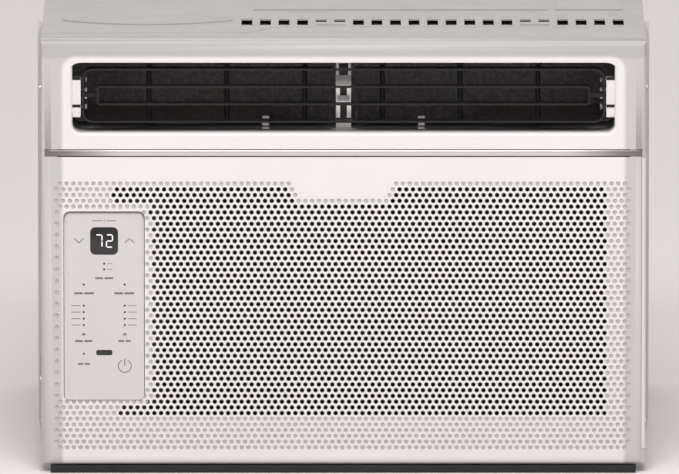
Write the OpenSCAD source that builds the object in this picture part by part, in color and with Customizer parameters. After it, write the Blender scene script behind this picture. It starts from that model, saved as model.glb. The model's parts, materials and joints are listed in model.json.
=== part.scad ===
// Window air conditioner: a front panel with a tilting louver over a perforated intake, on a
// sheet steel cabinet that holds the cooling circuit, the fan motor and the controls.
// X runs to the right seen from the front, Y from front to rear, Z up from the floor.
// Most sizes are given as a depth behind the front face, a side position and a height.

/* [Overall] */
// Width of the cabinet and of the front panel
chassis_w = 470; // [450:1:570]
// Height from the floor to the top of the front panel
overall_h = 340; // [336:1:410]
// Depth from the front face to the rear wall
overall_d = 400; // [395:1:480]

/* [Front panel] */
// How far the panel's rim reaches back
panel_d = 17; // [16:0.5:22]
// Wall of the panel
panel_wall = 2.5; // [2:0.1:3]
// Rounding of the side and lower edges
edge_r = 8; // [6:0.5:10]
// Rounding of the top edge
top_r = 11; // [8:0.5:14]
// Height of the panel's lower edge above the floor
panel_lift = 6; // [4:0.5:9]

/* [Air outlet] */
// Side margin between the cabinet's edge and the outlet
outlet_margin = 24.5; // [22:0.5:40]
// Height of the outlet
outlet_h = 57; // [54:0.5:66]
// Distance from the outlet's top to the top of the panel
outlet_drop = 14.5; // [13:0.5:20]
// Depth of the outlet's sleeve
sleeve_d = 56; // [54:1:60]
// Wall of the sleeve
sleeve_wall = 2.2; // [2:0.1:3]

/* [Louver and vanes] */
// Distance between two louver blades
blade_pitch = 13.65; // [12:0.05:14]
// Depth of a louver blade
blade_d = 12; // [10:0.5:13]
// Thickness of a louver blade
blade_t = 1.5; // [1.2:0.1:1.8]
// Radius of the louver's end pins
louver_pin_r = 2; // [1.5:0.1:2.4]
// Distance between two vertical vanes
vane_pitch = 60.5; // [50:0.5:64]
// Length of a vane from front to rear
vane_len = 28; // [24:0.5:28]
// Thickness of a vane
vane_t = 1.6; // [1.2:0.1:2.2]
// Radius of a vane's pivot pins
vane_pin_r = 1.5; // [1.2:0.1:1.8]
// Radial clearance of every running pin
pin_clear = 0.06; // [0.04:0.01:0.08]

/* [Intake grille] */
// Distance between two holes in a row
hole_pitch = 10.45; // [9.5:0.05:12.6]
// Distance between two rows of holes
hole_row = 9.05; // [8.6:0.05:11]
// Diameter of a hole
hole_dia = 6.8; // [5.6:0.1:8.2]

/* [Filter] */
// Thickness of the filter's frame
filter_t = 5; // [4:0.5:6]
// Width of the filter's pull strip on the front
pull_w = 3.2; // [3:0.1:4]

/* [Control pad] */
// Width of the pad
pad_w = 62; // [60:1:63]
// Height of the pad
pad_h = 148; // [146:1:160]
// Depth of the pad's recess
pad_recess = 1.4; // [1:0.1:1.8]
// Radius of a key's cap
key_r = 3.8; // [3.2:0.1:4]

/* [Sheet metal] */
// Thickness of the cabinet's sheet
sheet = 1.2; // [0.8:0.1:1.4]
// How far the side rails stand out
rail_out = 4; // [3:0.5:5]
// Side to side width of a vent slot in the top
slot_w = 8.5; // [7:0.5:10]

/* [Air movers] */
// Outer radius of the blower wheel
blower_r = 88; // [80:1:94]
// Outer radius of the condenser fan's blades
fan_r = 121; // [110:1:122]
// Radius of the motor shaft
shaft_r = 4; // [3:0.5:5]
// Height of the motor's axis above the floor
motor_z = 140; // [139:1:150]

/* [Cooling circuit] */
// Outer radius of the compressor's shell
compressor_r = 46; // [42:1:47]
// Height of the compressor's top above the floor
compressor_top = 210; // [180:1:220]
// Radius of the coil tubes
coil_tube_r = 4; // [3.5:0.1:4.5]

/* [Hidden] */
$fn = 48;

// Outline
hw = chassis_w / 2;
front_y = -overall_d / 2;
far = 1000;
cut = 1;

// Outlet, measured down from the top
outlet_x = hw - outlet_margin;
outlet_z1 = overall_h - outlet_drop;
outlet_z0 = outlet_z1 - outlet_h;
outlet_r = 6;

// Louver: its axis lies on the outlet's middle, just behind the front face
louver_gap = 7.5;
louver_x = outlet_x - louver_gap;
louver_z = (outlet_z0 + outlet_z1) / 2;
louver_front_d = 3;
louver_axis_d = louver_front_d + blade_d / 2;
louver_notch_x = 9;
louver_strip = 3.5;
inner_inset = 11.5;
bracket_gap = 1;

// Centre column and its windows
column_x = 5.9;
column_d0 = 15.2;
column_d1 = 24;
window_x = 2.7;

// Vanes
vane_axis_d = 40;
vane_foot = 3;
vane_head = 10.2;
lug_r = 3.2;
lug_h = 9.6;
drive_back = 10;
drive_r = 1.2;
bar_t = 1.8;
bar_w = 6;
bar_end = 4;
bar_lift = 0.8;
tab_w = 5.2;
tab_t = 1.4;
tab_front_d = 13;
grip_d0 = 24;
grip_d1 = 28;
grip_h = 8.5;

// Trim strip
trim_drop = 84.7;
trim_h = 6;
trim_groove = 1;
trim_proud = 0.2;
trim_z1 = overall_h - trim_drop;
trim_z0 = trim_z1 - trim_h;
trim_x = hw - 3.1;

// Control pad, measured down from the top and in from the left edge
pad_cx = -hw + 49;
pad_top = overall_h - 134;
pad_z0 = pad_top - pad_h;
pad_r = 4;
film_t = 0.3;
film_gap = 0.2;
pad_floor_t = 2.5;
pad_back_d = pad_recess + pad_floor_t;
board_d = 9;
board_t = 1.6;
light_r = 1;
light_x = 15.9;
light_rows = [73.8, 78.9, 84.1, 89.1];
timer_rows = [40.8, 45.2];
eco_light = 111.7;
side_light = 57.2;
arrow_x = 19.6;
display_s = 21.9;
display_down = 22.9;
window_w = 12.8;
window_h = 4.6;
window_down = 110.8;
key_names = [
  ["key_down", -arrow_x, 23.2], ["key_up", arrow_x, 23.2], ["key_timer", 0, 52],
  ["key_filter", -light_x, 64], ["key_sleep", light_x, 64],
  ["key_mode", -light_x, 101.7], ["key_fan", light_x, 101.7],
  ["key_eco", -light_x, 119.7], ["key_power", light_x, 121.4]
];
key_gap = 0.3;
key_lip = 1.1;
key_stem_r = 2.2;
key_stem_end = 8;
switch_h = 0.4;

// Intake field
intake_x0 = pad_cx + pad_w / 2 + 4.6;
intake_wide_x0 = -hw + 52.5;
intake_x1 = hw - 28;
intake_z1 = trim_z0 - 23.14;
intake_floor_z = 44.5;
row_count = floor((intake_z1 - intake_floor_z) / hole_row);
wide_top_rows = floor((intake_z1 - pad_top - 5) / hole_row);
wide_low_rows = floor((pad_z0 - 3 - (intake_z1 - row_count * hole_row)) / hole_row);
intake_high = intake_z1 - wide_top_rows * hole_row;
intake_low = intake_z1 - (row_count - wide_low_rows) * hole_row;
intake_z0 = intake_z1 - row_count * hole_row;
blank_x = 43.5;
blank_rows = 2;

// Filter
slot_z0 = 18.6;
slot_z1 = trim_z0 - 0.4;
filter_gap = 0.3;
filter_front_d = 7.5;
filter_x0 = intake_x0 + 1.4;
filter_x1 = hw - pull_w;
filter_z0 = slot_z0 + 3.4;
filter_z1 = slot_z1 - 2;
filter_rim = 8;
filter_rib = 3;
mesh_t = 0.8;
guide_t = 1.5;
guide_lip = 4;

// Cabinet and base pan
cab_d0 = panel_d + 1;
cab_z0 = 7;
cab_top = overall_h - 1;
bead_h = 0.8;
pan_gap = 1;
pan_x = hw - sheet - pan_gap;
pan_floor_x = hw - 7;
pan_step = 6;
pan_wall_h = 45;
pan_d0 = cab_d0 + 1;
pan_d1 = overall_d - sheet - 0.4;
rear_frame = 20;
slot_count = 21;
slot_pitch = 14.5;
slot_x0 = -hw + 159.6;
slot_d0 = 89;
slot_d1 = 119.5;
short_slot_d0 = 105.5;
short_slots = [4, 5, 15, 16];
hook_slot_d1 = 92;
side_slot_pitch = 14;

// Side rails and screws
rail_d0 = 111;
rail_d1 = 123;
rail_z0 = 1.3;
rail_taper = 26;
rail_groove_w = 6;
rail_floor = 2;
rail_screw_z = [58, 135, 217, 307];
screw_r = 1.9;
screw_hole_r = 2.1;
screw_len = 5.5;
screw_head_r = 2.8;
screw_head_h = 1.6;
panel_screw_d = 24;
panel_screw_high = overall_h - 40;
panel_screw_low = 70;
panel_screws = [[-1, panel_screw_low], [-1, panel_screw_high], [1, panel_screw_high]];
pan_screw_d = [60, overall_d / 2, overall_d - 50];
pan_screw_z = 30;
tab_half = 10;
tab_plate = 2;

// Cord grommet and drain
cord_d = 75;
cord_z = 70;
cord_r = 4.5;
cord_neck_r = 7;
cord_flange_r = 10;
cord_flange_t = 2;
drain_r = 6;
drain_x = hw - 60;
drain_d = 230;
sill_hole_r = 2.6;
sill_x = hw - 45;
sill_d = 156;

// Room side: evaporator, inlet ring, foam housing, bulkhead
evap_d0 = 30;
evap_d1 = 58;
evap_x0 = -hw + 105;
evap_x1 = hw - 27;
evap_z0 = 20;
evap_z1 = outlet_z0 - 14;
evap_pitch = 24;
evap_rows = [38, 50];
evap_first_z = evap_z0 + 10;
lane_z = outlet_z0 - 11;
suction_r = 4;
discharge_r = 4;
tube_bend = 6.5;
riser_h = coil_tube_r + 1;
evap_top_z = lane_z - tube_bend - riser_h;
evap_n = 2 * floor((evap_top_z - evap_first_z + evap_pitch) / evap_pitch / 2);
evap_last_z = evap_first_z + (evap_n - 1) * evap_pitch;
riser_x = evap_x0 - 16;
riser_z = evap_last_z + riser_h;
plate_t = 1;
tube_fit = 0.05;
foam_x0 = -hw + 87;
foam_x1 = hw - 9;
foam_z1 = overall_h - 6;
foam_top_z0 = outlet_z0 - 6.5;
foam_d0 = 64;
foam_top_d0 = sleeve_d + 1;
foam_d1 = 146;
foam_back = 6;
ring_plate_t = 2;
ring_r = 68;
motor_x = 45;
scroll_r = blower_r + 14;
bulkhead_d = foam_d1;
shaft_hole_r = 14;

// Control box
box_x0 = -hw + 8.5;
box_x1 = -hw + 83;
box_d0 = pan_d0 + 3;
box_d1 = 140;
box_z1 = lane_z - 7.5;
box_wall = 1.5;

// Outdoor side, placed from the rear wall
cond_d1 = overall_d - 16;
cond_d0 = cond_d1 - 34;
cond_x = hw - 37;
cond_z0 = 8;
cond_z1 = cab_top - sheet - 6;
cond_pitch = 26;
cond_rows = [cond_d0 + 8, cond_d0 + 26];
cond_n = 2 * floor((cond_z1 - cond_z0 - 12) / cond_pitch / 2);
cond_first_z = cond_z0 + 14;
cond_last_z = cond_first_z + (cond_n - 1) * cond_pitch;
guard_d0 = overall_d - 6;
guard_x = hw - 15;
guard_z0 = 20;
guard_z1 = cab_top - 14;
shroud_d0 = cond_d0 - 68;
shroud_x = hw - 21;
shroud_t = 2;
fan_d0 = shroud_d0 - 18;
fan_depth = 32;
slinger_w = 6;
slinger_d = 8;
motor_d0 = 158;
motor_len = 75;
motor_r = 55;
blower_d0 = 76;
blower_d1 = 138;
blower_in_r = blower_r - 16;
shaft_d0 = 118;
shaft_d1 = fan_d0 + fan_depth + 6;

// Compressor group
comp_x = -hw + 75;
comp_d = 222;
comp_base = 26;
foot_r = 58;
grommet_top = 20;
acc_x = comp_x + 60;
acc_d = 180;
acc_r = 22;
acc_z0 = 60;
acc_z1 = 190;
lane_x = -hw + 8;

// ---------- helpers ----------

module slab(x0, x1, d0, d1, z0, z1) {
  translate([x0, front_y + d0, z0]) cube([x1 - x0, d1 - d0, z1 - z0]);
}

module rod_x(x0, x1, d, z, r) {
  translate([x0, front_y + d, z]) rotate([0, 90, 0]) cylinder(h = x1 - x0, r = r);
}

module rod_d(x, d0, d1, z, r) {
  translate([x, front_y + d0, z]) rotate([-90, 0, 0]) cylinder(h = d1 - d0, r = r);
}

module rod_z(x, d, z0, z1, r) {
  translate([x, front_y + d, z0]) cylinder(h = z1 - z0, r = r);
}

// A flat outline drawn in X and Z, as a plate between two depths
module face_plate(d0, d1) {
  translate([0, front_y + d1, 0]) rotate([90, 0, 0]) linear_extrude(height = d1 - d0) children();
}

// An outline drawn in depth and Z, swept from side to side
module side_sweep(x0, x1) {
  translate([x0, front_y, 0]) rotate([90, 0, 90]) linear_extrude(height = x1 - x0) children();
}

module rounded_rect(x0, x1, z0, z1, r) {
  translate([x0 + r, z0]) square([x1 - x0 - 2 * r, z1 - z0]);
  translate([x0, z0 + r]) square([x1 - x0, z1 - z0 - 2 * r]);
  for (x = [x0 + r, x1 - r])
    for (z = [z0 + r, z1 - r])
      translate([x, z]) circle(r = r);
}

// A quarter turn of tube that leaves a corner's first direction u for its second, v
module pipe_bend(corner, u, v, r) {
  c = corner - tube_bend * u + tube_bend * v;
  w = cross(u, v);
  translate([c[0], front_y + c[1], c[2]])
    multmatrix([[-v[0], u[0], w[0], 0], [-v[1], u[1], w[1], 0], [-v[2], u[2], w[2], 0], [0, 0, 0, 1]])
      rotate_extrude(angle = 90) translate([tube_bend, 0]) circle(r = r);
}

// A tube along points [x, depth, z] that turn only at right angles
module pipe(points, r) {
  last = len(points) - 1;
  for (i = [0 : last - 1]) {
    u = (points[i + 1] - points[i]) / norm(points[i + 1] - points[i]);
    a = points[i] + (i > 0 ? tube_bend : 0) * u;
    b = points[i + 1] - (i < last - 1 ? tube_bend : 0) * u;
    if (u[0] != 0) rod_x(min(a[0], b[0]), max(a[0], b[0]), a[1], a[2], r);
    if (u[1] != 0) rod_d(a[0], min(a[1], b[1]), max(a[1], b[1]), a[2], r);
    if (u[2] != 0) rod_z(a[0], a[1], min(a[2], b[2]), max(a[2], b[2]), r);
    if (i < last - 1)
      pipe_bend(points[i + 1], u, (points[i + 2] - points[i + 1]) / norm(points[i + 2] - points[i + 1]), r);
  }
}

// ---------- front panel ----------

module panel_plan(inset, depth) {
  w = hw - inset;
  r = edge_r - inset;
  translate([-w, inset + r]) square([2 * w, depth - inset - r]);
  translate([-w + r, inset]) square([2 * (w - r), r + cut]);
  for (s = [-1, 1])
    translate([s * (w - r), inset + r]) circle(r = r);
}

module panel_profile(inset, depth) {
  z0 = panel_lift + inset;
  z1 = overall_h - inset;
  low_r = edge_r - inset;
  high_r = top_r - inset;
  translate([inset + high_r, z0]) square([depth - inset - high_r, z1 - z0]);
  translate([inset, z0 + low_r]) square([high_r + cut, z1 - z0 - low_r - high_r]);
  translate([inset + low_r, z0]) square([high_r - low_r + cut, low_r + cut]);
  translate([inset + low_r, z0 + low_r]) circle(r = low_r);
  translate([inset + high_r, z1 - high_r]) circle(r = high_r);
}

// The panel's outer form, drawn in by an inset
module panel_form(inset, depth) {
  intersection() {
    translate([0, front_y, 0]) linear_extrude(height = overall_h) panel_plan(inset, depth);
    side_sweep(-hw - cut, hw + cut) panel_profile(inset, depth);
  }
}

module intake_outline() {
  polygon([
    [intake_x0, intake_low], [intake_wide_x0, intake_low], [intake_wide_x0, intake_z0],
    [intake_x1, intake_z0], [intake_x1, intake_z1], [intake_wide_x0, intake_z1],
    [intake_wide_x0, intake_high], [intake_x0, intake_high]
  ]);
}

module pad_holes() {
  for (k = key_names)
    rod_d(pad_cx + k[1], 0, pad_back_d + cut, pad_top - k[2], key_r + key_gap);
  slab(pad_cx - display_s / 2 - key_gap, pad_cx + display_s / 2 + key_gap, 0, pad_back_d + cut,
    pad_top - display_down - display_s / 2 - key_gap, pad_top - display_down + display_s / 2 + key_gap);
  lights(0, pad_back_d + cut, light_r + key_gap);
  face_plate(0, pad_back_d + cut)
    rounded_rect(pad_cx - window_w / 2 - key_gap, pad_cx + window_w / 2 + key_gap,
      pad_top - window_down - window_h / 2 - key_gap, pad_top - window_down + window_h / 2 + key_gap, 2);
}

module filter_guides() {
  for (z = [slot_z0 + 0.6, filter_z1 + filter_gap])
    slab(filter_x0, filter_x1 - cut, panel_wall - 0.5, filter_front_d + filter_t + 2.5, z,
      z + filter_z0 - filter_gap - slot_z0 - 0.6);
  for (z = [filter_z0 - filter_gap - 0.5, filter_z1 + filter_gap - guide_lip])
    for (d = [filter_front_d - 0.5 - guide_t, filter_front_d + filter_t + 0.5])
      slab(filter_x0, filter_x1 - cut, d, d + guide_t, z, z + guide_lip + 0.5);
  slab(filter_x0 - 2, filter_x0 - 0.5 + filter_gap - 0.3, panel_wall - 0.5, filter_front_d + filter_t + 2.5,
    slot_z0 + 0.6, filter_z1 + 3);
}

// Tabs inside the cabinet's sides that take the panel's screws
module panel_tabs() {
  x1 = hw - sheet - 0.2;
  for (spot = panel_screws)
    difference() {
      slab(min(spot[0] * x1, spot[0] * (x1 - tab_plate)), max(spot[0] * x1, spot[0] * (x1 - tab_plate)),
        panel_d - 5, panel_screw_d + 6, spot[1] - tab_half, spot[1] + tab_half);
      rod_x(-far, far, panel_screw_d, spot[1], screw_r + tube_fit);
    }
}

module outlet_fittings() {
  difference() {
    slab(-column_x, column_x, column_d0, column_d1, outlet_z0 - cut, outlet_z1 + cut);
    for (z = [-1.5, -0.5, 0.5, 1.5])
      slab(-window_x, window_x, column_d0 - cut, column_d1 + cut,
        louver_z + z * blade_pitch - 4.3, louver_z + z * blade_pitch + 4.3);
  }
  for (s = [-1, 1])
    difference() {
      slab(min(s * (louver_x + bracket_gap), s * (outlet_x + cut)),
        max(s * (louver_x + bracket_gap), s * (outlet_x + cut)),
        louver_axis_d - 5, louver_axis_d + 5, louver_z - blade_pitch, louver_z + blade_pitch);
      rod_x(-louver_x - 6.2, louver_x + 6.2, louver_axis_d, louver_z, louver_pin_r + pin_clear);
    }
  for (x = vane_places())
    difference() {
      rod_z(x, vane_axis_d, outlet_z1 - lug_h, outlet_z1 + cut, lug_r);
      rod_z(x, vane_axis_d, outlet_z1 - lug_h - cut, outlet_z1, vane_pin_r + pin_clear);
    }
}

module front_panel() color("whitesmoke") {
  difference() {
    union() {
      difference() {
        panel_form(0, panel_d);
        panel_form(panel_wall, panel_d + cut);
      }
      face_plate(panel_wall - 0.5, sleeve_d)
        rounded_rect(-outlet_x - sleeve_wall, outlet_x + sleeve_wall, outlet_z0 - sleeve_wall,
          outlet_z1 + sleeve_wall, outlet_r + sleeve_wall);
      slab(pad_cx - pad_w / 2 - 1, pad_cx + pad_w / 2 + 1, panel_wall - 0.5, pad_back_d,
        pad_z0 - 2, pad_top + 2);
      for (x = [-1, 1])
        for (z = [pad_z0 + 5, pad_top - 5])
          rod_d(pad_cx + x * (pad_w / 2 - 4), panel_wall, board_d, z, 2.5);
      filter_guides();
      panel_tabs();
    }
    face_plate(-cut, sleeve_d + cut)
      rounded_rect(-outlet_x, outlet_x, outlet_z0, outlet_z1, outlet_r);
    face_plate(-cut, pad_recess)
      rounded_rect(pad_cx - pad_w / 2, pad_cx + pad_w / 2, pad_z0, pad_top, pad_r);
    pad_holes();
    face_plate(-cut, panel_wall + 0.2) intake_outline();
    slab(hw - pull_w - filter_gap, hw + cut, -cut, panel_d + cut, slot_z0, slot_z1);
    difference() {
      slab(-trim_x - 0.2, trim_x + 0.2, -cut, edge_r, trim_z0 - 0.15, trim_z1 + 0.15);
      panel_form(trim_groove, panel_d + cut);
    }
    for (x = vane_places())
      rod_z(x, vane_axis_d, outlet_z0 - sleeve_wall - cut, outlet_z0 + cut, vane_pin_r + pin_clear);
  }
  outlet_fittings();
}

// ---------- intake ----------

function row_wide(k) = k < wide_top_rows || k >= row_count - wide_low_rows;
function row_start(k) = row_wide(k) ? intake_wide_x0 : intake_x0;

// One row of the field: a strip of the plate with its holes; a plain plate sits mid-top
module intake_row(k) {
  z = intake_z1 - (k + 0.5) * hole_row;
  last_x = intake_x1 - hole_dia / 2 - 0.8 - (k % 2 == 0 ? hole_pitch / 2 : 0);
  n = floor((last_x - hole_dia / 2 - 0.8 - row_start(k)) / hole_pitch);
  blank = k < blank_rows ? blank_x - k * hole_pitch / 2 : -1;
  difference() {
    translate([row_start(k), z - hole_row / 2]) square([intake_x1 - row_start(k), hole_row]);
    for (i = [0 : n])
      if (abs(last_x - i * hole_pitch) > blank)
        translate([last_x - i * hole_pitch, z]) circle(d = hole_dia);
  }
}

module intake_grille() color("whitesmoke")
  face_plate(0, panel_wall)
    for (k = [0 : row_count - 1]) intake_row(k);

module trim_strip() color("silver") {
  intersection() {
    difference() {
      panel_form(trim_proud, panel_d);
      panel_form(trim_groove, panel_d + cut);
    }
    slab(-trim_x, trim_x, 0, edge_r, trim_z0, trim_z1);
  }
}

// ---------- louver and vanes ----------

module louver() color("#1c1c1e") {
  half = 1.5 * blade_pitch + blade_t / 2;
  inner_half = 0.5 * blade_pitch + blade_t / 2;
  d1 = louver_front_d + blade_d;
  difference() {
    union() {
      face_plate(louver_front_d, d1) difference() {
        rounded_rect(-louver_x, louver_x, louver_z - half, louver_z + half, 8);
        rounded_rect(-louver_x + blade_t, louver_x - blade_t, louver_z - half + blade_t,
          louver_z + half - blade_t, 8 - blade_t);
      }
      face_plate(louver_front_d, d1) difference() {
        rounded_rect(-louver_x + inner_inset, louver_x - inner_inset, louver_z - inner_half,
          louver_z + inner_half, 2.5);
        rounded_rect(-louver_x + inner_inset + blade_t, louver_x - inner_inset - blade_t,
          louver_z - inner_half + blade_t, louver_z + inner_half - blade_t, 1);
      }
      for (s = [-1, 1]) {
        slab(min(s * (louver_x - 1), s * (louver_x - inner_inset - 1)),
          max(s * (louver_x - 1), s * (louver_x - inner_inset - 1)),
          louver_axis_d - 3, louver_axis_d + 3, louver_z - 1.5, louver_z + 1.5);
        rod_x(min(s * (louver_x - 1), s * (louver_x + 5.5)), max(s * (louver_x - 1), s * (louver_x + 5.5)),
          louver_axis_d, louver_z, louver_pin_r);
        slab(s * (louver_notch_x + 1) - 0.75, s * (louver_notch_x + 1) + 0.75,
          d1 - 5, d1, louver_z - half + 0.5, louver_z + half - 0.5);
      }
    }
    slab(-louver_notch_x, louver_notch_x, louver_front_d + louver_strip, d1 + cut,
      outlet_z0, outlet_z1);
  }
}

function vane_places() = [for (i = [-2.5 : 1 : 2.5]) i * vane_pitch];

// One vane: group -1 left or 1 right, counted outwards from the middle
module vane(x) color("#1c1c1e") {
  z0 = outlet_z0 + vane_foot;
  z1 = outlet_z1 - vane_head;
  slab(x - vane_t / 2, x + vane_t / 2, vane_axis_d - vane_len / 2, vane_axis_d + vane_len / 2, z0, z1);
  rod_z(x, vane_axis_d, z0 - 0.5, z1 + 0.5, 1.9);
  rod_z(x, vane_axis_d, z1, outlet_z1 - 2, vane_pin_r);
  rod_z(x, vane_axis_d, outlet_z0 - sleeve_wall + 0.2, z0, vane_pin_r);
  rod_z(x, vane_axis_d + drive_back, outlet_z0 + 0.5, z0 + 2, drive_r);
}

module vane_link(side) color("#1c1c1e") {
  z0 = outlet_z0 + bar_lift;
  x0 = side * 0.5 * vane_pitch;
  x1 = side * 2.5 * vane_pitch;
  tab_x = side * vane_pitch;
  bar_d = vane_axis_d + drive_back;
  difference() {
    slab(min(x0, x1) - bar_end, max(x0, x1) + bar_end, bar_d - bar_w / 2, bar_d + bar_w / 2, z0, z0 + bar_t);
    for (i = [0.5, 1.5, 2.5])
      rod_z(side * i * vane_pitch, bar_d, z0 - cut, z0 + bar_t + cut, drive_r + pin_clear);
  }
  slab(tab_x - tab_w / 2, tab_x + tab_w / 2, tab_front_d, bar_d - bar_w / 2 + cut, z0, z0 + tab_t);
  slab(tab_x - tab_w / 2, tab_x + tab_w / 2, grip_d0, grip_d1, z0, z0 + grip_h);
}

// ---------- filter ----------

module filter_windows() {
  third = (filter_x1 - filter_x0 - 2 * filter_rim - 2 * filter_rib) / 3;
  for (i = [0 : 2])
    translate([filter_x0 + filter_rim + i * (third + filter_rib), filter_z0 + filter_rim])
      square([third, filter_z1 - filter_z0 - 2 * filter_rim]);
}

module filter_frame() color("#3a3d40") {
  face_plate(filter_front_d, filter_front_d + filter_t) difference() {
    translate([filter_x0, filter_z0]) square([filter_x1 + cut - filter_x0, filter_z1 - filter_z0]);
    filter_windows();
  }
  intersection() {
    panel_form(0, panel_d - 0.7);
    slab(filter_x1, hw + cut, -cut, panel_d, slot_z0 + filter_gap, slot_z1 - filter_gap);
  }
}

module filter_mesh() color("#5a6066") {
  mid = filter_front_d + filter_t / 2;
  face_plate(mid - mesh_t / 2, mid + mesh_t / 2) filter_windows();
}

// ---------- controls ----------

module lights(d0, d1, r) {
  for (x = [-light_x, light_x])
    for (down = concat(light_rows, [side_light]))
      rod_d(pad_cx + x, d0, d1, pad_top - down, r);
  for (down = timer_rows)
    rod_d(pad_cx, d0, d1, pad_top - down, r);
  rod_d(pad_cx - light_x, d0, d1, pad_top - eco_light, r);
}

module control_film() color("white") {
  face_plate(pad_recess - film_t, pad_recess)
    rounded_rect(pad_cx - pad_w / 2 + film_gap, pad_cx + pad_w / 2 - film_gap, pad_z0 + film_gap,
      pad_top - film_gap, pad_r);
}

module display_module() color("black") {
  z = pad_top - display_down;
  slab(pad_cx - display_s / 2, pad_cx + display_s / 2, pad_recess, board_d,
    z - display_s / 2, z + display_s / 2);
}

module indicator_lights() color("dimgray") lights(pad_recess, board_d, light_r);

module infrared_window() color("black") {
  z = pad_top - window_down;
  face_plate(pad_recess, board_d)
    rounded_rect(pad_cx - window_w / 2, pad_cx + window_w / 2, z - window_h / 2, z + window_h / 2, 1.8);
}

module control_board() color("darkgreen") {
  slab(pad_cx - pad_w / 2 - 2, pad_cx + pad_w / 2 + 2, board_d, board_d + board_t, pad_z0 + 1, pad_top + 1);
  for (k = key_names)
    rod_d(pad_cx + k[1], board_d - switch_h, board_d + 0.5, pad_top - k[2], 2.5);
}

module key(index) color("lightgray") {
  x = pad_cx + key_names[index][1];
  z = pad_top - key_names[index][2];
  rod_d(x, pad_recess + key_gap, pad_back_d + 0.6, z, key_r);
  rod_d(x, pad_back_d + 0.5, pad_back_d + 1.5, z, key_r + key_lip);
  rod_d(x, pad_back_d + 1.4, key_stem_end, z, key_stem_r);
}

// ---------- cabinet ----------

module top_slots() {
  for (i = [0 : slot_count - 1]) {
    short = len([for (s = short_slots) if (s == i) s]) > 0;
    x = slot_x0 + i * slot_pitch;
    slab(x - slot_w / 2, x + slot_w / 2, short ? short_slot_d0 : slot_d0, slot_d1,
      cab_top - 2 * sheet, cab_top + 2);
  }
  for (i = [4.5, 15.5])
    slab(slot_x0 + (i - 0.5) * slot_pitch - slot_w / 2, slot_x0 + (i + 0.5) * slot_pitch + slot_w / 2,
      slot_d0 - 1, hook_slot_d1, cab_top - 2 * sheet, cab_top + 2);
}

module side_slots() {
  rows = floor((cab_top - 60 - 60) / side_slot_pitch);
  for (k = [0 : rows - 1])
    for (d = [175, 250])
      slab(-hw - cut, hw + cut, d, d + 62, 70 + k * side_slot_pitch, 75 + k * side_slot_pitch);
}

module screw_holes(r) {
  for (z = rail_screw_z) rod_x(-far, far, (rail_d0 + rail_d1) / 2, z, r);
  for (spot = panel_screws)
    rod_x(spot[0] * hw - 5, spot[0] * hw + 5, panel_screw_d, spot[1], r);
  for (d = pan_screw_d) rod_x(-far, far, d, pan_screw_z, r);
}

module cabinet_top() color("gainsboro") difference() {
  union() {
    slab(-hw, hw, cab_d0, overall_d, cab_top - sheet, cab_top);
    slab(slot_x0 + 5, slot_x0 + 235, 164, overall_d - 12, cab_top - 0.5, cab_top + bead_h);
    slab(slot_x0 + 242, slot_x0 + 294, 164, overall_d - 12, cab_top - 0.5, cab_top + bead_h);
    intersection() {
      rod_z(-hw + 82, 208, cab_top - 0.5, cab_top + bead_h, 118);
      rod_z(-hw + 82, 54, cab_top - 0.5, cab_top + bead_h, 118);
      slab(-hw + 16, -hw + 148, 80, 182, cab_top - 0.5, cab_top + bead_h);
    }
  }
  top_slots();
}

module cabinet_side(side) color("gainsboro") {
  x = [side * hw, side * (hw - sheet)];
  difference() {
    slab(min(x), max(x), cab_d0, overall_d, cab_z0, cab_top - sheet);
    side_slots();
    screw_holes(screw_hole_r);
    if (side < 0) rod_x(-hw - cut, -hw + 2 * sheet, cord_d, cord_z, cord_neck_r + tube_fit);
  }
}

module pan_outline(inset) {
  polygon([
    [-pan_floor_x + inset, inset], [pan_floor_x - inset, inset],
    [pan_floor_x - inset, pan_step + inset], [pan_x - inset, pan_step + inset],
    [pan_x - inset, pan_wall_h + inset * 10], [-pan_x + inset, pan_wall_h + inset * 10],
    [-pan_x + inset, pan_step + inset], [-pan_floor_x + inset, pan_step + inset]
  ]);
}

module base_pan() color("lightslategray") difference() {
  face_plate(pan_d0, pan_d1) pan_outline(0);
  face_plate(pan_d0 + sheet, pan_d1 - sheet) pan_outline(sheet);
  slab(-pan_x + 12, pan_x - 12, pan_d0 - cut, pan_d1 + cut, 20, pan_wall_h + cut);
  for (s = [-1, 1]) rod_z(s * sill_x, sill_d, -cut, 2 * sheet, sill_hole_r);
  rod_z(drain_x, drain_d, -cut, 2 * sheet, drain_r);
  for (s = [-1, 1])
    for (d = pan_screw_d)
      rod_x(s > 0 ? pan_x - 5 : -pan_x - 5, s > 0 ? pan_x + 5 : -pan_x + 5, d, pan_screw_z, screw_r + tube_fit);
}

module rear_guard() color("gainsboro") {
  pitch = 12;
  n = floor((2 * guard_x - 24) / pitch);
  half = (guard_z1 - guard_z0 - 30) / 2;
  face_plate(guard_d0, overall_d - sheet) difference() {
    translate([-guard_x, guard_z0]) square([2 * guard_x, guard_z1 - guard_z0]);
    for (i = [0 : n - 1])
      for (z = [guard_z0 + 10, guard_z0 + 20 + half])
        translate([(i - (n - 1) / 2) * pitch - 4, z]) square([8, half]);
  }
  face_plate(overall_d - sheet, overall_d) difference() {
    translate([-hw + sheet, cab_z0]) square([2 * (hw - sheet), cab_top - sheet - cab_z0]);
    translate([-hw + rear_frame, rear_frame + 5])
      square([2 * (hw - rear_frame), cab_top - 2 * rear_frame - 5]);
  }
}

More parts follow.
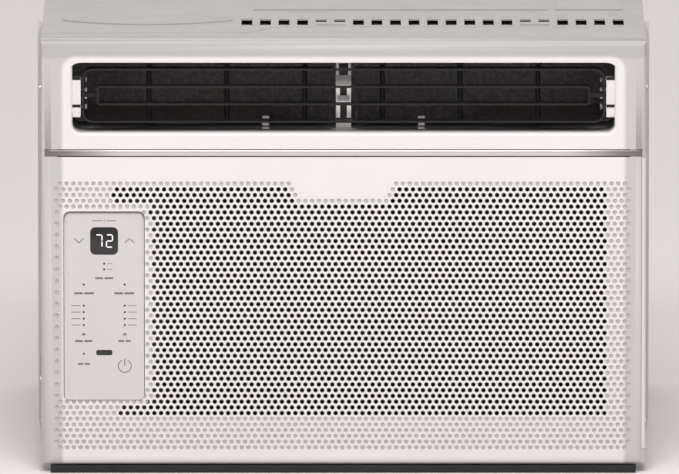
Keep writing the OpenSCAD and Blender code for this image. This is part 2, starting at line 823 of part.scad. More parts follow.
module side_rail(side) color("gainsboro") {
  mirror([side < 0 ? 1 : 0, 0, 0])
    difference() {
      face_plate(rail_d0, rail_d1) polygon([
        [hw, rail_z0], [hw + 0.8, rail_z0], [hw + rail_out, rail_taper],
        [hw + rail_out, cab_top], [hw, cab_top]
      ]);
      slab(hw + rail_floor, hw + rail_out + cut, (rail_d0 + rail_d1 - rail_groove_w) / 2,
        (rail_d0 + rail_d1 + rail_groove_w) / 2, rail_taper + 4, cab_top + cut);
      screw_holes(screw_hole_r);
    }
}

module screw(side, seat_x, d, z) {
  x0 = min(side * seat_x, side * (seat_x - screw_len));
  h0 = min(side * seat_x, side * (seat_x + screw_head_h));
  rod_x(x0, x0 + screw_len, d, z, screw_r);
  rod_x(h0, h0 + screw_head_h, d, z, screw_head_r);
}

module sheet_screws() color("silver") {
  for (s = [-1, 1]) {
    for (z = rail_screw_z) screw(s, hw + rail_floor, (rail_d0 + rail_d1) / 2, z);
    for (d = pan_screw_d) screw(s, hw, d, pan_screw_z);
  }
  for (spot = panel_screws) screw(spot[0], hw, panel_screw_d, spot[1]);
}

module cord_grommet() color("#202020") difference() {
  union() {
    rod_x(-hw - cord_flange_t, -hw, cord_d, cord_z, cord_flange_r);
    rod_x(-hw - 0.5, -hw + sheet + 0.5, cord_d, cord_z, cord_neck_r);
    rod_x(-hw + sheet, -hw + sheet + cord_flange_t, cord_d, cord_z, cord_flange_r);
  }
  rod_x(-far, 0, cord_d, cord_z, cord_r);
}

module drain_plug() color("#202020") {
  rod_z(drain_x, drain_d, 0, sheet + 0.5, drain_r - tube_fit);
  rod_z(drain_x, drain_d, sheet, sheet + 2, drain_r + 3);
}

// ---------- room side ----------

// Tube bend in a vertical plane at a coil's end; side is -1 or 1
module end_bend(x, d, z, side, pitch) {
  translate([x, front_y + d, z + pitch / 2]) rotate([90, 0, 0]) rotate([0, 0, side < 0 ? 90 : -90])
    rotate_extrude(angle = 180) translate([pitch / 2, 0]) circle(r = coil_tube_r);
}

// Serpentine of one row of tubes, open at the left end of its first and last tubes
module serpentine(x0, x1, d, z0, n, pitch) {
  for (i = [0 : n - 1]) rod_x(x0, x1, d, z0 + i * pitch, coil_tube_r);
  for (i = [0 : 2 : n - 2]) end_bend(x1, d, z0 + i * pitch, 1, pitch);
  for (i = [1 : 2 : n - 3]) end_bend(x0, d, z0 + i * pitch, -1, pitch);
}

// Bend in a level plane that joins two rows at their first tubes
module row_bend(x, d_a, d_b, z) {
  translate([x, front_y + (d_a + d_b) / 2, z]) rotate([0, 0, 90])
    rotate_extrude(angle = 180) translate([(d_b - d_a) / 2, 0]) circle(r = coil_tube_r);
}

module coil_block(x0, x1, d0, d1, z0, z1, rows, first_z, n, pitch) difference() {
  union() {
    slab(x0, x1, d0, d1, z0, z1);
    slab(x0 - plate_t, x0 + plate_t, d0, d1, sheet, z1);
    slab(x1 - plate_t, x1 + plate_t, d0, d1, sheet, z1);
  }
  for (d = rows)
    for (i = [0 : n - 1])
      rod_x(x0 - 5, x1 + 5, d, first_z + i * pitch, coil_tube_r + tube_fit);
}

module evaporator_fins() color("silver")
  coil_block(evap_x0, evap_x1, evap_d0, evap_d1, evap_z0, evap_z1, evap_rows, evap_first_z, evap_n, evap_pitch);

module evaporator_tubes() color("#b87333") {
  for (d = evap_rows) {
    serpentine(evap_x0 - 2, evap_x1 + 2, d, evap_first_z, evap_n, evap_pitch);
    rod_x(riser_x, evap_x0, d, evap_last_z, coil_tube_r);
    translate([riser_x, front_y + d, evap_last_z]) sphere(r = coil_tube_r);
    rod_z(riser_x, d, evap_last_z, riser_z, coil_tube_r);
  }
  row_bend(evap_x0 - 2, evap_rows[0], evap_rows[1], evap_first_z);
}

module inlet_ring() color("whitesmoke") difference() {
  union() {
    slab(foam_x0, foam_x1, foam_d0 - ring_plate_t, foam_d0, sheet, foam_top_z0 - 4);
    rod_d(motor_x, foam_d0 - 0.5, blower_d0 - 2, motor_z, ring_r + 2);
  }
  rod_d(motor_x, foam_d0 - 5, blower_d0, motor_z, ring_r);
}

module scroll_housing() color("ivory") difference() {
  union() {
    slab(foam_x0, foam_x1, foam_d0, foam_d1, sheet, foam_top_z0 + 5);
    slab(-foam_x1, foam_x1, foam_top_d0, foam_d1, foam_top_z0, foam_z1);
  }
  rod_d(motor_x, foam_d0 - cut, foam_d1 - foam_back, motor_z, scroll_r);
  slab(motor_x - scroll_r, motor_x + 60, foam_d0 - cut, foam_d1 - foam_back, motor_z, outlet_z0 + 10);
  slab(-outlet_x, outlet_x, foam_top_d0 - cut, foam_d1 - foam_back, outlet_z0, outlet_z1);
  rod_d(motor_x, foam_d1 - foam_back - cut, foam_d1 + cut, motor_z, shaft_hole_r);
}

module bulkhead() color("lightgray") difference() {
  union() {
    slab(-pan_x + 2.2, pan_x - 2.2, bulkhead_d, bulkhead_d + sheet, pan_step + 2 * sheet, cab_top - sheet - 0.5);
    slab(-pan_floor_x + 2, pan_floor_x - 2, bulkhead_d, bulkhead_d + sheet, sheet, pan_step + 3 * sheet);
  }
  rod_d(motor_x, bulkhead_d - cut, bulkhead_d + 3, motor_z, shaft_hole_r);
  rod_d(-hw + 45, bulkhead_d - cut, bulkhead_d + 3, lane_z, 8);
}

module control_box() color("lightgray") difference() {
  slab(box_x0, box_x1, box_d0, box_d1, sheet, box_z1);
  slab(box_x0 + box_wall, box_x1 - box_wall, box_d0 - cut, box_d1 - box_wall, sheet + box_wall, box_z1 - box_wall);
  rod_x(box_x0 - cut, box_x0 + 2 * box_wall, cord_d, cord_z, 8);
}

module relay_board() color("darkgreen") {
  z0 = sheet + box_wall;
  slab(box_x0 + 8, box_x0 + 10, 32, box_d1 - 12, z0 + 90, box_z1 - 12);
  slab(box_x0 + 9, box_x0 + 40, 40, 76, z0 + 100, z0 + 136);
  for (i = [0 : 2])
    slab(box_x0 + 9, box_x0 + 26, 84, 100, z0 + 100 + 24 * i, z0 + 118 + 24 * i);
}

module run_capacitor() color("silver") {
  rod_z(box_x1 - 32, 100, sheet + box_wall, 78, 20);
  for (s = [-1, 1])
    slab(box_x1 - 32 + s * 8 - 3, box_x1 - 32 + s * 8 + 3, 99.6, 100.4, 77, 88);
}

// ---------- motor, blower, fan ----------

module fan_motor() color("dimgray") difference() {
  union() {
    rod_d(motor_x, motor_d0 + 6, motor_d0 + motor_len - 6, motor_z, motor_r);
    rod_d(motor_x, motor_d0, motor_d0 + motor_len, motor_z, motor_r - 9);
  }
  rod_d(motor_x, motor_d0 - cut, motor_d0 + motor_len + cut, motor_z, shaft_r + tube_fit);
  for (a = [0 : 60 : 300])
    rod_d(motor_x + 30 * cos(a), motor_d0 - cut, motor_d0 + 8, motor_z + 30 * sin(a), 6);
}

module motor_bracket() color("lightslategray") {
  d0 = motor_d0 + 18;
  face_plate(d0, d0 + 40) difference() {
    translate([motor_x - 45, sheet]) square([90, motor_z - 30]);
    translate([motor_x, motor_z]) circle(r = motor_r);
    translate([motor_x - 41, sheet + 4]) square([82, motor_z - motor_r - 10 - sheet]);
  }
}

module motor_shaft() color("silver") rod_d(motor_x, shaft_d0, shaft_d1, motor_z, shaft_r);

module hub(d0, d1, r) difference() {
  rod_d(motor_x, d0, d1, motor_z, r);
  rod_d(motor_x, d0 - cut, d1 + cut, motor_z, shaft_r);
}

module blower_wheel() color("#26282b") {
  blades = 32;
  hub(blower_d1 - 14, blower_d1, 11);
  difference() {
    rod_d(motor_x, blower_d1 - 6, blower_d1 - 4, motor_z, blower_r);
    rod_d(motor_x, blower_d1 - 10, blower_d1, motor_z, 10);
  }
  difference() {
    rod_d(motor_x, blower_d0, blower_d0 + 3, motor_z, blower_r);
    rod_d(motor_x, blower_d0 - cut, blower_d0 + 4, motor_z, blower_in_r + 3);
  }
  for (i = [0 : blades - 1])
    translate([motor_x, front_y, motor_z]) rotate([0, i * 360 / blades, 0])
      translate([blower_in_r, blower_d0 + 1, -0.7]) rotate([0, -25, 0])
        cube([14.5, blower_d1 - 5.5 - blower_d0 - 1, 1.4]);
}

module condenser_fan() color("#26282b") {
  hub(fan_d0, fan_d0 + fan_depth, 20);
  difference() {
    rod_d(motor_x, fan_d0, fan_d0 + slinger_d, motor_z, fan_r + slinger_w);
    rod_d(motor_x, fan_d0 - cut, fan_d0 + slinger_d + cut, motor_z, fan_r);
  }
  for (i = [0 : 4])
    intersection() {
      translate([motor_x, front_y + fan_d0 + fan_depth / 2 - 0.5, motor_z]) rotate([0, i * 72, 0])
        rotate([28, 0, 0]) translate([0, -1.5, -30]) cube([fan_r + 4, 3, 60]);
      difference() {
        rod_d(motor_x, fan_d0 + 0.5, fan_d0 + fan_depth - 0.5, motor_z, fan_r + 0.5);
        rod_d(motor_x, fan_d0 - cut, fan_d0 + fan_depth + cut, motor_z, 19);
        difference() {
          rod_d(motor_x, fan_d0 + slinger_d, fan_d0 + fan_depth, motor_z, fan_r + 5);
          rod_d(motor_x, fan_d0, fan_d0 + fan_depth + cut, motor_z, fan_r);
        }
      }
    }
}

module fan_shroud() color("#3a3d40") difference() {
  union() {
    slab(-shroud_x, shroud_x, shroud_d0, shroud_d0 + shroud_t, sheet, cond_z1);
    for (s = [-1, 1])
      slab(s > 0 ? shroud_x - shroud_t : -shroud_x, s > 0 ? shroud_x : -shroud_x + shroud_t,
        shroud_d0, cond_d0, sheet, cond_z1);
    slab(-shroud_x, shroud_x, shroud_d0, cond_d0, cond_z1 - shroud_t, cond_z1);
  }
  rod_d(motor_x, shroud_d0 - cut, shroud_d0 + 2 * shroud_t, motor_z, fan_r + 8);
}

module condenser_fins() color("silver")
  coil_block(-cond_x, cond_x, cond_d0, cond_d1, cond_z0, cond_z1, cond_rows, cond_first_z, cond_n, cond_pitch);

module condenser_tubes() color("#b87333") {
  for (d = cond_rows) {
    serpentine(-cond_x - 2, cond_x + 2, d, cond_first_z, cond_n, cond_pitch);
    rod_x(-cond_x - 12, -cond_x, d, cond_last_z, coil_tube_r);
  }
  row_bend(-cond_x - 2, cond_rows[0], cond_rows[1], cond_first_z);
}

// ---------- compressor group ----------

module compressor() color("#1c1c1e") {
  rod_z(comp_x, comp_d, comp_base, compressor_top - 10, compressor_r);
  translate([comp_x, front_y + comp_d, compressor_top - 10]) cylinder(h = 10, r1 = compressor_r, r2 = 32);
  translate([comp_x, front_y + comp_d, comp_base - 10]) cylinder(h = 10, r1 = 34, r2 = compressor_r);
  rod_z(comp_x + 14, comp_d, compressor_top - cut, compressor_top + 12, 12);
  difference() {
    for (a = [30, 150, 270])
      translate([comp_x, front_y + comp_d, 0]) rotate([0, 0, a])
        translate([0, -12, grommet_top - 7]) cube([foot_r + 12, 24, 3.4]);
    for (a = [30, 150, 270])
      translate([comp_x + foot_r * cos(a), front_y + comp_d + foot_r * sin(a), 0]) cylinder(h = 40, r = 6.3);
  }
}

module at_feet() {
  for (a = [30, 150, 270])
    translate([comp_x + foot_r * cos(a), front_y + comp_d + foot_r * sin(a), 0]) children();
}

module compressor_grommets() color("#202020") at_feet() difference() {
  union() {
    translate([0, 0, sheet]) cylinder(h = grommet_top - 8 - sheet, r = 10);
    translate([0, 0, sheet]) cylinder(h = grommet_top - sheet, r = 6);
    translate([0, 0, grommet_top - 3]) cylinder(h = 3, r = 9);
  }
  cylinder(h = 40, r = 3.2);
}

module compressor_bolts() color("silver") at_feet() {
  translate([0, 0, sheet]) cylinder(h = grommet_top, r = 3);
  translate([0, 0, grommet_top]) cylinder(h = 4, r = 5.5, $fn = 6);
}

module accumulator() color("#1c1c1e") {
  reach = norm([acc_x - comp_x, acc_d - comp_d]);
  turn = atan2(comp_d - acc_d, comp_x - acc_x);
  rod_z(acc_x, acc_d, acc_z0, acc_z1 - 8, acc_r);
  translate([acc_x, front_y + acc_d, acc_z1 - 8]) cylinder(h = 8, r1 = acc_r, r2 = 10);
  rod_z(acc_x, acc_d, 44, acc_z0 + cut, 4);
  translate([acc_x, front_y + acc_d, 44]) sphere(r = 4);
  difference() {
    translate([acc_x, front_y + acc_d, 44]) rotate([0, 90, turn]) cylinder(h = reach - compressor_r + 3, r = 4);
    rod_z(comp_x, comp_d, 0, 100, compressor_r + tube_fit);
  }
}

module discharge_tube() color("#b87333") pipe([
  [comp_x - 20, comp_d, compressor_top], [comp_x - 20, comp_d, cond_last_z],
  [lane_x, comp_d, cond_last_z], [lane_x, cond_rows[1], cond_last_z],
  [-cond_x - 12, cond_rows[1], cond_last_z]
], discharge_r);

module suction_tube() color("#b87333") pipe([
  [acc_x, acc_d, acc_z1], [acc_x, acc_d, lane_z], [-hw + 45, acc_d, lane_z],
  [-hw + 45, evap_rows[1], lane_z], [riser_x, evap_rows[1], lane_z], [riser_x, evap_rows[1], riser_z]
], suction_r);

front_panel();
intake_grille();
trim_strip();
louver();
vane(-2.5 * vane_pitch);  // vane_left_1
vane(-1.5 * vane_pitch);  // vane_left_2
vane(-0.5 * vane_pitch);  // vane_left_3
vane(0.5 * vane_pitch);  // vane_right_1
vane(1.5 * vane_pitch);  // vane_right_2
vane(2.5 * vane_pitch);  // vane_right_3
vane_link(-1);  // vane_link_left
vane_link(1);  // vane_link_right
filter_frame();
filter_mesh();
control_film();
display_module();
indicator_lights();
infrared_window();
control_board();
key(0);  // key_down
key(1);  // key_up
key(2);  // key_timer
key(3);  // key_filter
key(4);  // key_sleep
key(5);  // key_mode
key(6);  // key_fan
key(7);  // key_eco
key(8);  // key_power
cabinet_top();
cabinet_side(-1);  // cabinet_left
cabinet_side(1);  // cabinet_right
base_pan();
rear_guard();
side_rail(-1);  // side_rail_left
side_rail(1);  // side_rail_right
sheet_screws();
cord_grommet();
drain_plug();
evaporator_fins();
evaporator_tubes();
inlet_ring();
scroll_housing();
bulkhead();
control_box();
relay_board();
run_capacitor();
fan_motor();
motor_bracket();
motor_shaft();
blower_wheel();
condenser_fan();
fan_shroud();
condenser_fins();
condenser_tubes();
compressor();
compressor_grommets();
compressor_bolts();
accumulator();
discharge_tube();
suction_tube();
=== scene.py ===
import json
import math

import bmesh
import bpy
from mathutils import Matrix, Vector
from mathutils.geometry import delaunay_2d_cdt


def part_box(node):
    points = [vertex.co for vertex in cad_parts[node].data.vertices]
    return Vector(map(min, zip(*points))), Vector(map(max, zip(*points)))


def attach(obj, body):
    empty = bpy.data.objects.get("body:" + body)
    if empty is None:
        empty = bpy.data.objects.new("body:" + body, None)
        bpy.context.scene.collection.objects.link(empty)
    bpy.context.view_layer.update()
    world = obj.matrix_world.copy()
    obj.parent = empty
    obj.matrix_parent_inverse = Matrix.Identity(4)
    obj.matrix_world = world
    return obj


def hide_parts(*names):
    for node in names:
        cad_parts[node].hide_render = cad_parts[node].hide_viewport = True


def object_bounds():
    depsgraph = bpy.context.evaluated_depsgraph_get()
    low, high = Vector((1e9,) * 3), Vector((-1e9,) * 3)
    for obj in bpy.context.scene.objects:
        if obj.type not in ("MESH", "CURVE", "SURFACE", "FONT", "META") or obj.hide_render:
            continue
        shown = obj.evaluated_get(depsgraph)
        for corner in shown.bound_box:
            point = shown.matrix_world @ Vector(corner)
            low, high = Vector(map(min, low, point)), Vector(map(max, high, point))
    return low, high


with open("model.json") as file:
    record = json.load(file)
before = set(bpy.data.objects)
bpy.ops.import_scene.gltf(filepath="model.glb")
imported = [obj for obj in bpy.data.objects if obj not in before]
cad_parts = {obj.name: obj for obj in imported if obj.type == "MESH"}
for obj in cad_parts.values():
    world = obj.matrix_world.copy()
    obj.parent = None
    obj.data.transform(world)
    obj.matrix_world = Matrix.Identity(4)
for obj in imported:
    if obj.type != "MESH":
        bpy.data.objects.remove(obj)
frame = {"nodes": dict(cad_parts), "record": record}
nodes = frame["nodes"]
cad_low, cad_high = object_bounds()
MM = 0.001
FRONT = cad_low.y


def P(x, d, z):
    """A point given in millimetres: side position, depth behind the front face, height."""
    return Vector((x * MM, FRONT + d * MM, z * MM))


def box_mm(node):
    """A node's box as (x0, x1, d0, d1, z0, z1) in millimetres."""
    a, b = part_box(node)
    return (a.x / MM, b.x / MM, (a.y - FRONT) / MM, (b.y - FRONT) / MM, a.z / MM, b.z / MM)


# ---------------------------------------------------------------- materials

class Tree:
    """A small helper round one material's node tree."""

    def __init__(self, name):
        self.material = bpy.data.materials.new(name)
        self.material.use_nodes = True
        self.tree = self.material.node_tree
        self.tree.nodes.clear()
        self.out = self.add("ShaderNodeOutputMaterial")
        self.shader = self.add("ShaderNodeBsdfPrincipled")
        self.link(self.shader.outputs["BSDF"], self.out.inputs["Surface"])
        self.place = self.add("ShaderNodeTexCoord").outputs["Object"]

    def add(self, kind, **values):
        node = self.tree.nodes.new(kind)
        for key, value in values.items():
            setattr(node, key, value)
        return node

    def link(self, a, b):
        self.tree.links.new(a, b)

    def noise(self, scale, detail=3.0, rough=0.55, place=None):
        node = self.add("ShaderNodeTexNoise")
        node.inputs["Scale"].default_value = scale
        node.inputs["Detail"].default_value = detail
        node.inputs["Roughness"].default_value = rough
        self.link(place or self.place, node.inputs["Vector"])
        return node.outputs["Fac"]

    def remap(self, value, a, b, c, d, smooth=False):
        node = self.add("ShaderNodeMapRange")
        if smooth:
            node.interpolation_type = "SMOOTHSTEP"
        self.link(value, node.inputs["Value"])
        for name, number in zip(("From Min", "From Max", "To Min", "To Max"), (a, b, c, d)):
            node.inputs[name].default_value = number
        return node.outputs["Result"]

    def mix(self, factor, a, b):
        node = self.add("ShaderNodeMix", data_type="RGBA")
        self.link(factor, node.inputs["Factor"])
        for socket, value in ((node.inputs[6], a), (node.inputs[7], b)):
            if hasattr(value, "is_output"):
                self.link(value, socket)
            else:
                socket.default_value = (*value, 1.0)
        return node.outputs[2]

    def math(self, operation, a, b=None):
        node = self.add("ShaderNodeMath", operation=operation)
        for socket, value in zip(node.inputs, (a, b)):
            if value is None:
                continue
            if hasattr(value, "is_output"):
                self.link(value, socket)
            else:
                socket.default_value = value
        return node.outputs["Value"]

    def axis(self, index):
        node = self.add("ShaderNodeSeparateXYZ")
        self.link(self.place, node.inputs["Vector"])
        return node.outputs[index]

    def bump(self, height, strength, distance, normal=None):
        node = self.add("ShaderNodeBump")
        node.inputs["Strength"].default_value = strength
        node.inputs["Distance"].default_value = distance
        self.link(height, node.inputs["Height"])
        if normal is not None:
            self.link(normal, node.inputs["Normal"])
        return node.outputs["Normal"]


def shade(color, k):
    return tuple(min(1.0, c * k) for c in color)


WHITE = (0.737, 0.717, 0.713)
BLACK = (0.014, 0.012, 0.012)
FINE_GRAIN = 2600.0


def finish_surface(t, color, rough, spread, grain, bump, tint, metallic, specular):
    """Colour that drifts a little, roughness that varies, and a fine moulded or painted grain."""
    if not hasattr(color, "is_output"):
        cloud = t.remap(t.noise(9.0, 4.0), 0.3, 0.7, 0.0, 1.0)
        color = t.mix(cloud, shade(color, 1.0 - tint), shade(color, 1.0 + tint))
    t.link(color, t.shader.inputs["Base Color"])
    uneven = t.remap(t.noise(55.0, 3.0), 0.3, 0.7, rough - spread, rough + spread)
    t.link(uneven, t.shader.inputs["Roughness"])
    t.shader.inputs["Metallic"].default_value = metallic
    t.shader.inputs["Specular IOR Level"].default_value = specular
    if bump:
        t.link(t.bump(t.noise(grain, 2.0), bump, 0.0002), t.shader.inputs["Normal"])


def plain(name, color, rough=0.45, spread=0.05, grain=FINE_GRAIN, bump=0.12, tint=0.02, metallic=0.0,
          specular=0.5):
    t = Tree(name)
    finish_surface(t, color, rough, spread, grain, bump, tint, metallic, specular)
    return t.material


def panel_plastic(name):
    """White moulded plastic with a fine spark-eroded grain. Outside the flat face, where the edges round
    away, it is painted darker as painted shade, and deeper still along the top.
    """
    t = Tree(name)
    flat_x, flat_z = 0.208, 0.3175
    over_x = t.math("MAXIMUM", t.math("SUBTRACT", t.math("ABSOLUTE", t.axis(0)), flat_x), 0.0)
    over_z = t.math("MAXIMUM", t.math("SUBTRACT", t.axis(2), flat_z), 0.0)
    squares = t.math("ADD", t.math("MULTIPLY", over_x, over_x), t.math("MULTIPLY", over_z, over_z))
    out = t.math("SQRT", squares)
    # Painted shade: the rounded edges outside the flat face are coloured darker than the face.
    border_shade = t.remap(out, 0.0085, 0.0125, 0.0, 1.0, smooth=True)
    cloud = t.remap(t.noise(9.0, 4.0), 0.3, 0.7, 0.0, 1.0)
    face = t.mix(cloud, shade(WHITE, 0.988), shade(WHITE, 1.012))
    # Painted shade: the band along the top is coloured darker than the bands at the sides.
    upper = t.remap(t.axis(2), 0.3255, 0.3285, 0.0, 1.0, smooth=True)
    rim = t.mix(upper, shade(WHITE, 0.69), shade(WHITE, 0.59))
    finish_surface(t, t.mix(border_shade, face, rim), 0.42, 0.04, 3200.0, 0.10, 0.012, 0.0, 0.45)
    return t.material


def edge_shadow(name, low, high):
    """The seam round the control pad, with a painted shadow along its top that fades out down its sides."""
    t = Tree(name)
    share = t.remap(t.axis(2), low, high, 0.0, 1.0, smooth=True)
    color = t.mix(share, shade(WHITE, 0.90), (0.16, 0.152, 0.15))
    finish_surface(t, color, 0.6, 0.05, FINE_GRAIN, 0.05, 0.0, 0.0, 0.2)
    return t.material


def cup_plastic(name):
    """A blind dimple's inside, with painted shade that deepens with its depth."""
    t = Tree(name)
    depth = t.remap(t.axis(1), FRONT, FRONT + 1.1 * MM, 0.0, 1.0)
    color = t.mix(depth, shade(WHITE, 0.9), shade(WHITE, 0.74))
    finish_surface(t, color, 0.5, 0.05, FINE_GRAIN, 0.05, 0.0, 0.0, 0.3)
    return t.material


def bore_plastic(name):
    """The wall of a hole: white at the face, painted near-black from just inside as the shade down the hole.
    """
    t = Tree(name)
    depth = t.remap(t.axis(1), FRONT - 0.05 * MM, FRONT + 0.2 * MM, 0.0, 1.0, smooth=True)
    color = t.mix(depth, shade(WHITE, 0.8), (0.012, 0.011, 0.011))
    finish_surface(t, color, 0.6, 0.05, FINE_GRAIN, 0.05, 0.0, 0.0, 0.2)
    return t.material


def duct_plastic(name):
    """The outlet's inner wall, the panel's own white plastic: painted shade greys it a little way in and
    turns it black deeper in.
    """
    t = Tree(name)
    near = t.remap(t.axis(1), FRONT + 1.0 * MM, FRONT + 8.0 * MM, 0.0, 1.0, smooth=True)
    depth = t.remap(t.axis(1), FRONT + 6.0 * MM, FRONT + 50.0 * MM, 0.0, 1.0, smooth=True)
    color = t.mix(depth, t.mix(near, WHITE, shade(WHITE, 0.62)), BLACK)
    finish_surface(t, color, 0.5, 0.05, 2600.0, 0.1, 0.0, 0.0, 0.35)
    return t.material


def link_plastic(name):
    """The vanes' link: its finger tab is white, the bar behind it black."""
    t = Tree(name)
    depth = t.remap(t.axis(1), FRONT + 30.0 * MM, FRONT + 32.0 * MM, 0.0, 1.0)
    finish_surface(t, t.mix(depth, WHITE, BLACK), 0.45, 0.05, 2600.0, 0.1, 0.0, 0.0, 0.4)
    return t.material


def frame_plastic(name):
    """The filter's frame: painted near-black behind the grille as the shade there, white on the pull strip
    outside it.
    """
    t = Tree(name)
    out = t.remap(t.axis(0), 0.2275, 0.2280, 0.0, 1.0)
    finish_surface(t, t.mix(out, (0.024, 0.023, 0.023), WHITE), 0.5, 0.05, 2600.0, 0.1, 0.0, 0.0, 0.35)
    return t.material


def silver_plastic(name):
    """Satin silver lacquer with faint drawn lines along X. Towards its ends, where the strip turns to the
    sides, it is painted dark as a painted reflection of the dimmer room.
    """
    t = Tree(name)
    side = t.math("ABSOLUTE", t.axis(0))
    painted_end_reflection = t.remap(side, 0.165, 0.228, 0.0, 1.0, smooth=True)
    stretch = t.add("ShaderNodeMapping")
    stretch.inputs["Scale"].default_value = (3.0, 900.0, 900.0)
    t.link(t.place, stretch.inputs["Vector"])
    lines = t.noise(1.0, 3.0, 0.6, stretch.outputs["Vector"])
    pale = t.mix(t.remap(lines, 0.3, 0.7, 0.0, 1.0), (0.62, 0.585, 0.58), (0.68, 0.645, 0.64))
    color = t.mix(painted_end_reflection, pale, (0.20, 0.185, 0.175))
    finish_surface(t, color, 0.36, 0.04, 2600.0, 0.0, 0.0, 0.55, 0.5)
    t.link(t.bump(lines, 0.12, 0.0001), t.shader.inputs["Normal"])
    return t.material


def painted_sheet(name, color, rough):
    """Powder coat: a fine orange peel over a broader, fainter one."""
    t = Tree(name)
    finish_surface(t, color, rough, 0.05, 900.0, 0.0, 0.018, 0.0, 0.4)
    first = t.bump(t.noise(1500.0, 2.0), 0.18, 0.0002)
    t.link(t.bump(t.noise(260.0, 2.0), 0.05, 0.0004, first), t.shader.inputs["Normal"])
    return t.material


def spangled_zinc(name):
    """Galvanised sheet with its crystal pattern, painted near-black and matt along its front as the shade
    under the front panel.
    """
    t = Tree(name)
    cells = t.add("ShaderNodeTexVoronoi")
    cells.inputs["Scale"].default_value = 120.0
    t.link(t.place, cells.inputs["Vector"])
    grey = t.add("ShaderNodeRGBToBW")
    t.link(cells.outputs["Color"], grey.inputs["Color"])
    flakes = t.remap(grey.outputs["Val"], 0.2, 0.8, 0.0, 1.0)
    # Painted shade: the pan's front strip, under the front panel, is coloured near-black.
    clear_of_front_shade = t.remap(t.axis(1), FRONT + 24.0 * MM, FRONT + 28.0 * MM, 0.0, 1.0)
    zinc = t.mix(flakes, (0.50, 0.51, 0.52), (0.66, 0.67, 0.68))
    t.link(t.mix(clear_of_front_shade, (0.06, 0.056, 0.056), zinc), t.shader.inputs["Base Color"])
    t.link(t.remap(flakes, 0.0, 1.0, 0.32, 0.5), t.shader.inputs["Roughness"])
    t.link(t.remap(clear_of_front_shade, 0.0, 1.0, 0.0, 0.9), t.shader.inputs["Metallic"])
    t.link(t.bump(t.noise(900.0), 0.08, 0.0002), t.shader.inputs["Normal"])
    return t.material


def finned_aluminium(name):
    """A coil's fin pack: thin upright fins side by side, their edges pale and the gaps between them painted
    dark as the shade down between the fins.
    """
    t = Tree(name)
    wave = t.math("SINE", t.math("MULTIPLY", t.axis(0), 2.0 * math.pi / 0.0018))
    edge = t.remap(wave, -0.2, 0.7, 0.0, 1.0, smooth=True)
    dust = t.remap(t.noise(30.0, 5.0), 0.35, 0.75, 0.0, 0.35)
    fin = t.mix(dust, (0.62, 0.63, 0.64), (0.40, 0.39, 0.37))
    t.link(t.mix(edge, (0.05, 0.05, 0.055), fin), t.shader.inputs["Base Color"])
    t.link(t.remap(dust, 0.0, 0.35, 0.35, 0.5), t.shader.inputs["Roughness"])
    t.link(t.remap(edge, 0.0, 1.0, 0.0, 0.8), t.shader.inputs["Metallic"])
    t.link(t.bump(edge, 0.6, 0.0006), t.shader.inputs["Normal"])
    return t.material


def woven_net(name):
    """The air filter's net: threads both ways, with the gaps between them painted near-black as the shade
    behind the net.
    """
    t = Tree(name)
    pitch = 2.0 * math.pi / 0.0011
    up = t.math("SINE", t.math("MULTIPLY", t.axis(2), pitch))
    across = t.math("SINE", t.math("MULTIPLY", t.axis(0), pitch))
    thread = t.remap(t.math("MAXIMUM", up, across), 0.3, 0.9, 0.0, 1.0, smooth=True)
    lint = t.remap(t.noise(60.0, 4.0), 0.5, 0.8, 0.0, 0.3)
    strand = t.mix(lint, (0.030, 0.032, 0.036), (0.07, 0.07, 0.07))
    t.link(t.mix(thread, (0.004, 0.004, 0.005), strand), t.shader.inputs["Base Color"])
    t.shader.inputs["Roughness"].default_value = 0.7
    t.link(t.bump(thread, 0.5, 0.0004), t.shader.inputs["Normal"])
    return t.material


def drawn_copper(name):
    t = Tree(name)
    age = t.remap(t.noise(35.0, 5.0), 0.4, 0.7, 0.0, 1.0)
    t.link(t.mix(age, (0.78, 0.42, 0.28), (0.46, 0.25, 0.17)), t.shader.inputs["Base Color"])
    t.link(t.remap(age, 0.0, 1.0, 0.24, 0.46), t.shader.inputs["Roughness"])
    t.shader.inputs["Metallic"].default_value = 1.0
    t.link(t.bump(t.noise(700.0), 0.06, 0.0002), t.shader.inputs["Normal"])
    return t.material


def brushed_metal(name, color, rough, along):
    """Metal with a fine directional brushing along one axis."""
    t = Tree(name)
    stretch = t.add("ShaderNodeMapping")
    stretch.inputs["Scale"].default_value = tuple(40.0 if i == along else 1400.0 for i in range(3))
    t.link(t.place, stretch.inputs["Vector"])
    lines = t.noise(1.0, 3.0, 0.6, stretch.outputs["Vector"])
    t.link(t.mix(lines, shade(color, 0.82), shade(color, 1.1)), t.shader.inputs["Base Color"])
    t.link(t.remap(lines, 0.3, 0.7, rough - 0.08, rough + 0.08), t.shader.inputs["Roughness"])
    t.shader.inputs["Metallic"].default_value = 1.0
    t.link(t.bump(lines, 0.12, 0.0001), t.shader.inputs["Normal"])
    return t.material


def circuit(name):
    """A green board with a faint pattern of tracks."""
    t = Tree(name)
    cells = t.add("ShaderNodeTexBrick")
    cells.inputs["Scale"].default_value = 90.0
    cells.inputs["Mortar Size"].default_value = 0.06
    t.link(t.place, cells.inputs["Vector"])
    track = t.remap(cells.outputs["Fac"], 0.0, 1.0, 0.0, 1.0)
    t.link(t.mix(track, (0.03, 0.17, 0.07), (0.10, 0.30, 0.12)), t.shader.inputs["Base Color"])
    t.shader.inputs["Roughness"].default_value = 0.35
    t.link(t.bump(track, 0.3, 0.0001), t.shader.inputs["Normal"])
    return t.material


